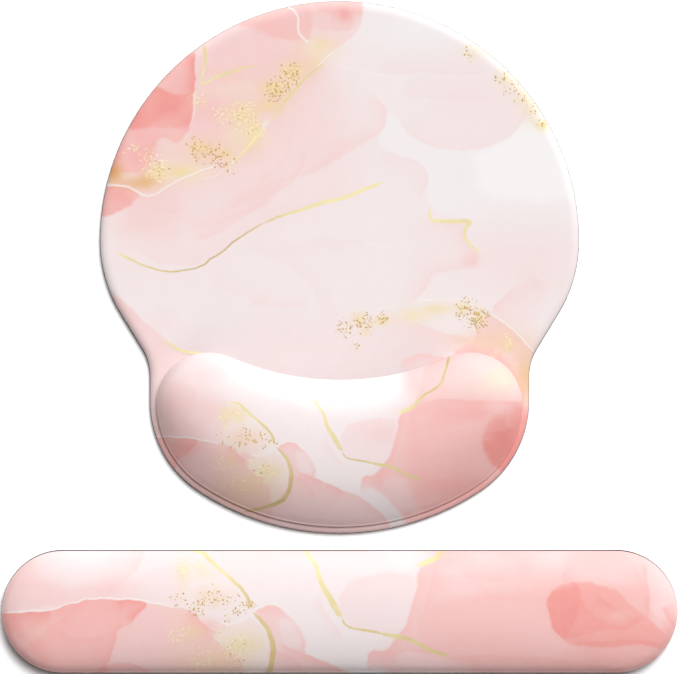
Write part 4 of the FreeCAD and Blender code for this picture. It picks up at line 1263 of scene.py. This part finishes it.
def build_cushion():
    """The wrist cushion on the pad."""
    low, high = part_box("cushion_cover")
    hem, top = low.z / MM, high.z / MM
    widest = hem + 1.4
    skin = make_dome_skin("cushion_skin", cushion_loop(CUSHION_SPACING), hem, widest, top, cushion_form, 1.1,
                          CUSHION_SPACING)
    print_cushion(skin)
    thicken(skin)
    wear(skin, FABRIC)
    belongs(skin, PAD_BODY, "cushion_cover")
    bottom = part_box("cushion_core")[0].z / MM
    core = make_dome_foam("cushion_foam", cushion_loop(FOAM_SPACING), bottom, widest, top - FOAM_SLACK,
                          cushion_form)
    wear(core, FOAM)
    belongs(core, PAD_BODY, "cushion_core")


def build_rest():
    """The long keyboard rest."""
    low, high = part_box("rest_cover")
    hem, top = low.z / MM, high.z / MM
    widest = hem + 4.5
    skin = make_dome_skin("rest_skin", rest_loop(REST_SPACING), hem, widest, top, rest_form, 1.3,
                          REST_SPACING)
    print_bar(skin)
    thicken(skin)
    wear(skin, FABRIC)
    belongs(skin, REST_BODY, "rest_cover")
    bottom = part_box("rest_core")[0].z / MM
    core = make_dome_foam("rest_foam", rest_loop(FOAM_SPACING), bottom, widest, top - FOAM_SLACK, rest_form)
    wear(core, FOAM)
    belongs(core, REST_BODY, "rest_core")


def finish_cad_nodes():
    """Materials for the CAD pieces that stay in view."""
    for node in ("pad_base", "rest_base"):
        wear(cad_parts[node], RUBBER)
    for node in ("pad_glue_film", "cushion_glue_film", "rest_glue_film"):
        wear(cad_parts[node], GLUE)


build_pad()
build_cushion()
build_rest()
finish_cad_nodes()


# ---------------------------------------------------------------- stage

def make_floor():
    """A plain pale floor under the set."""
    low, high = CAD_BOX
    centre = (low + high) / 2
    bpy.ops.mesh.primitive_plane_add(size=12.0, location=(centre.x, centre.y, low.z))
    floor = bpy.context.object
    floor.name = "floor"
    n = Nodes("floor_white")
    tone = n.mix(n.noise(900.0), (0.93, 0.93, 0.93, 1), (0.95, 0.95, 0.95, 1))
    grain = n.bump(n.noise(3.0), 0.02, 0.05)
    floor.data.materials.append(n.finish(tone, 0.9, grain, Specular_IOR_Level=0.1))


# The dome's strength everywhere, and the patch's direction, strength and tightness.
LIGHT_FROM = (0.28, 0.56, 0.78)
LIGHT_EVEN = 0.10
LIGHT_PEAK = 14.6
LIGHT_FOCUS = 16.0


def make_light():
    """A soft studio dome with a broad bright patch behind the set, to the right."""
    world = bpy.data.worlds.new("studio")
    bpy.context.scene.world = world
    world.use_nodes = True
    tree = world.node_tree
    direction = tree.nodes.new("ShaderNodeTexCoord").outputs["Generated"]
    towards = tree.nodes.new("ShaderNodeVectorMath")
    towards.operation = "DOT_PRODUCT"
    tree.links.new(direction, towards.inputs[0])
    towards.inputs[1].default_value = Vector(LIGHT_FROM).normalized()
    value = towards.outputs["Value"]
    for operation, numbers in (("MAXIMUM", (0.0,)), ("POWER", (LIGHT_FOCUS,)),
                               ("MULTIPLY_ADD", (LIGHT_PEAK, LIGHT_EVEN))):
        step = tree.nodes.new("ShaderNodeMath")
        step.operation = operation
        tree.links.new(value, step.inputs[0])
        for place, number in enumerate(numbers, 1):
            step.inputs[place].default_value = number
        value = step.outputs["Value"]
    background = tree.nodes["Background"]
    background.inputs["Color"].default_value = (1, 1, 1, 1)
    tree.links.new(value, background.inputs["Strength"])


make_floor()
make_light()
bpy.context.scene.view_settings.view_transform = "Standard"
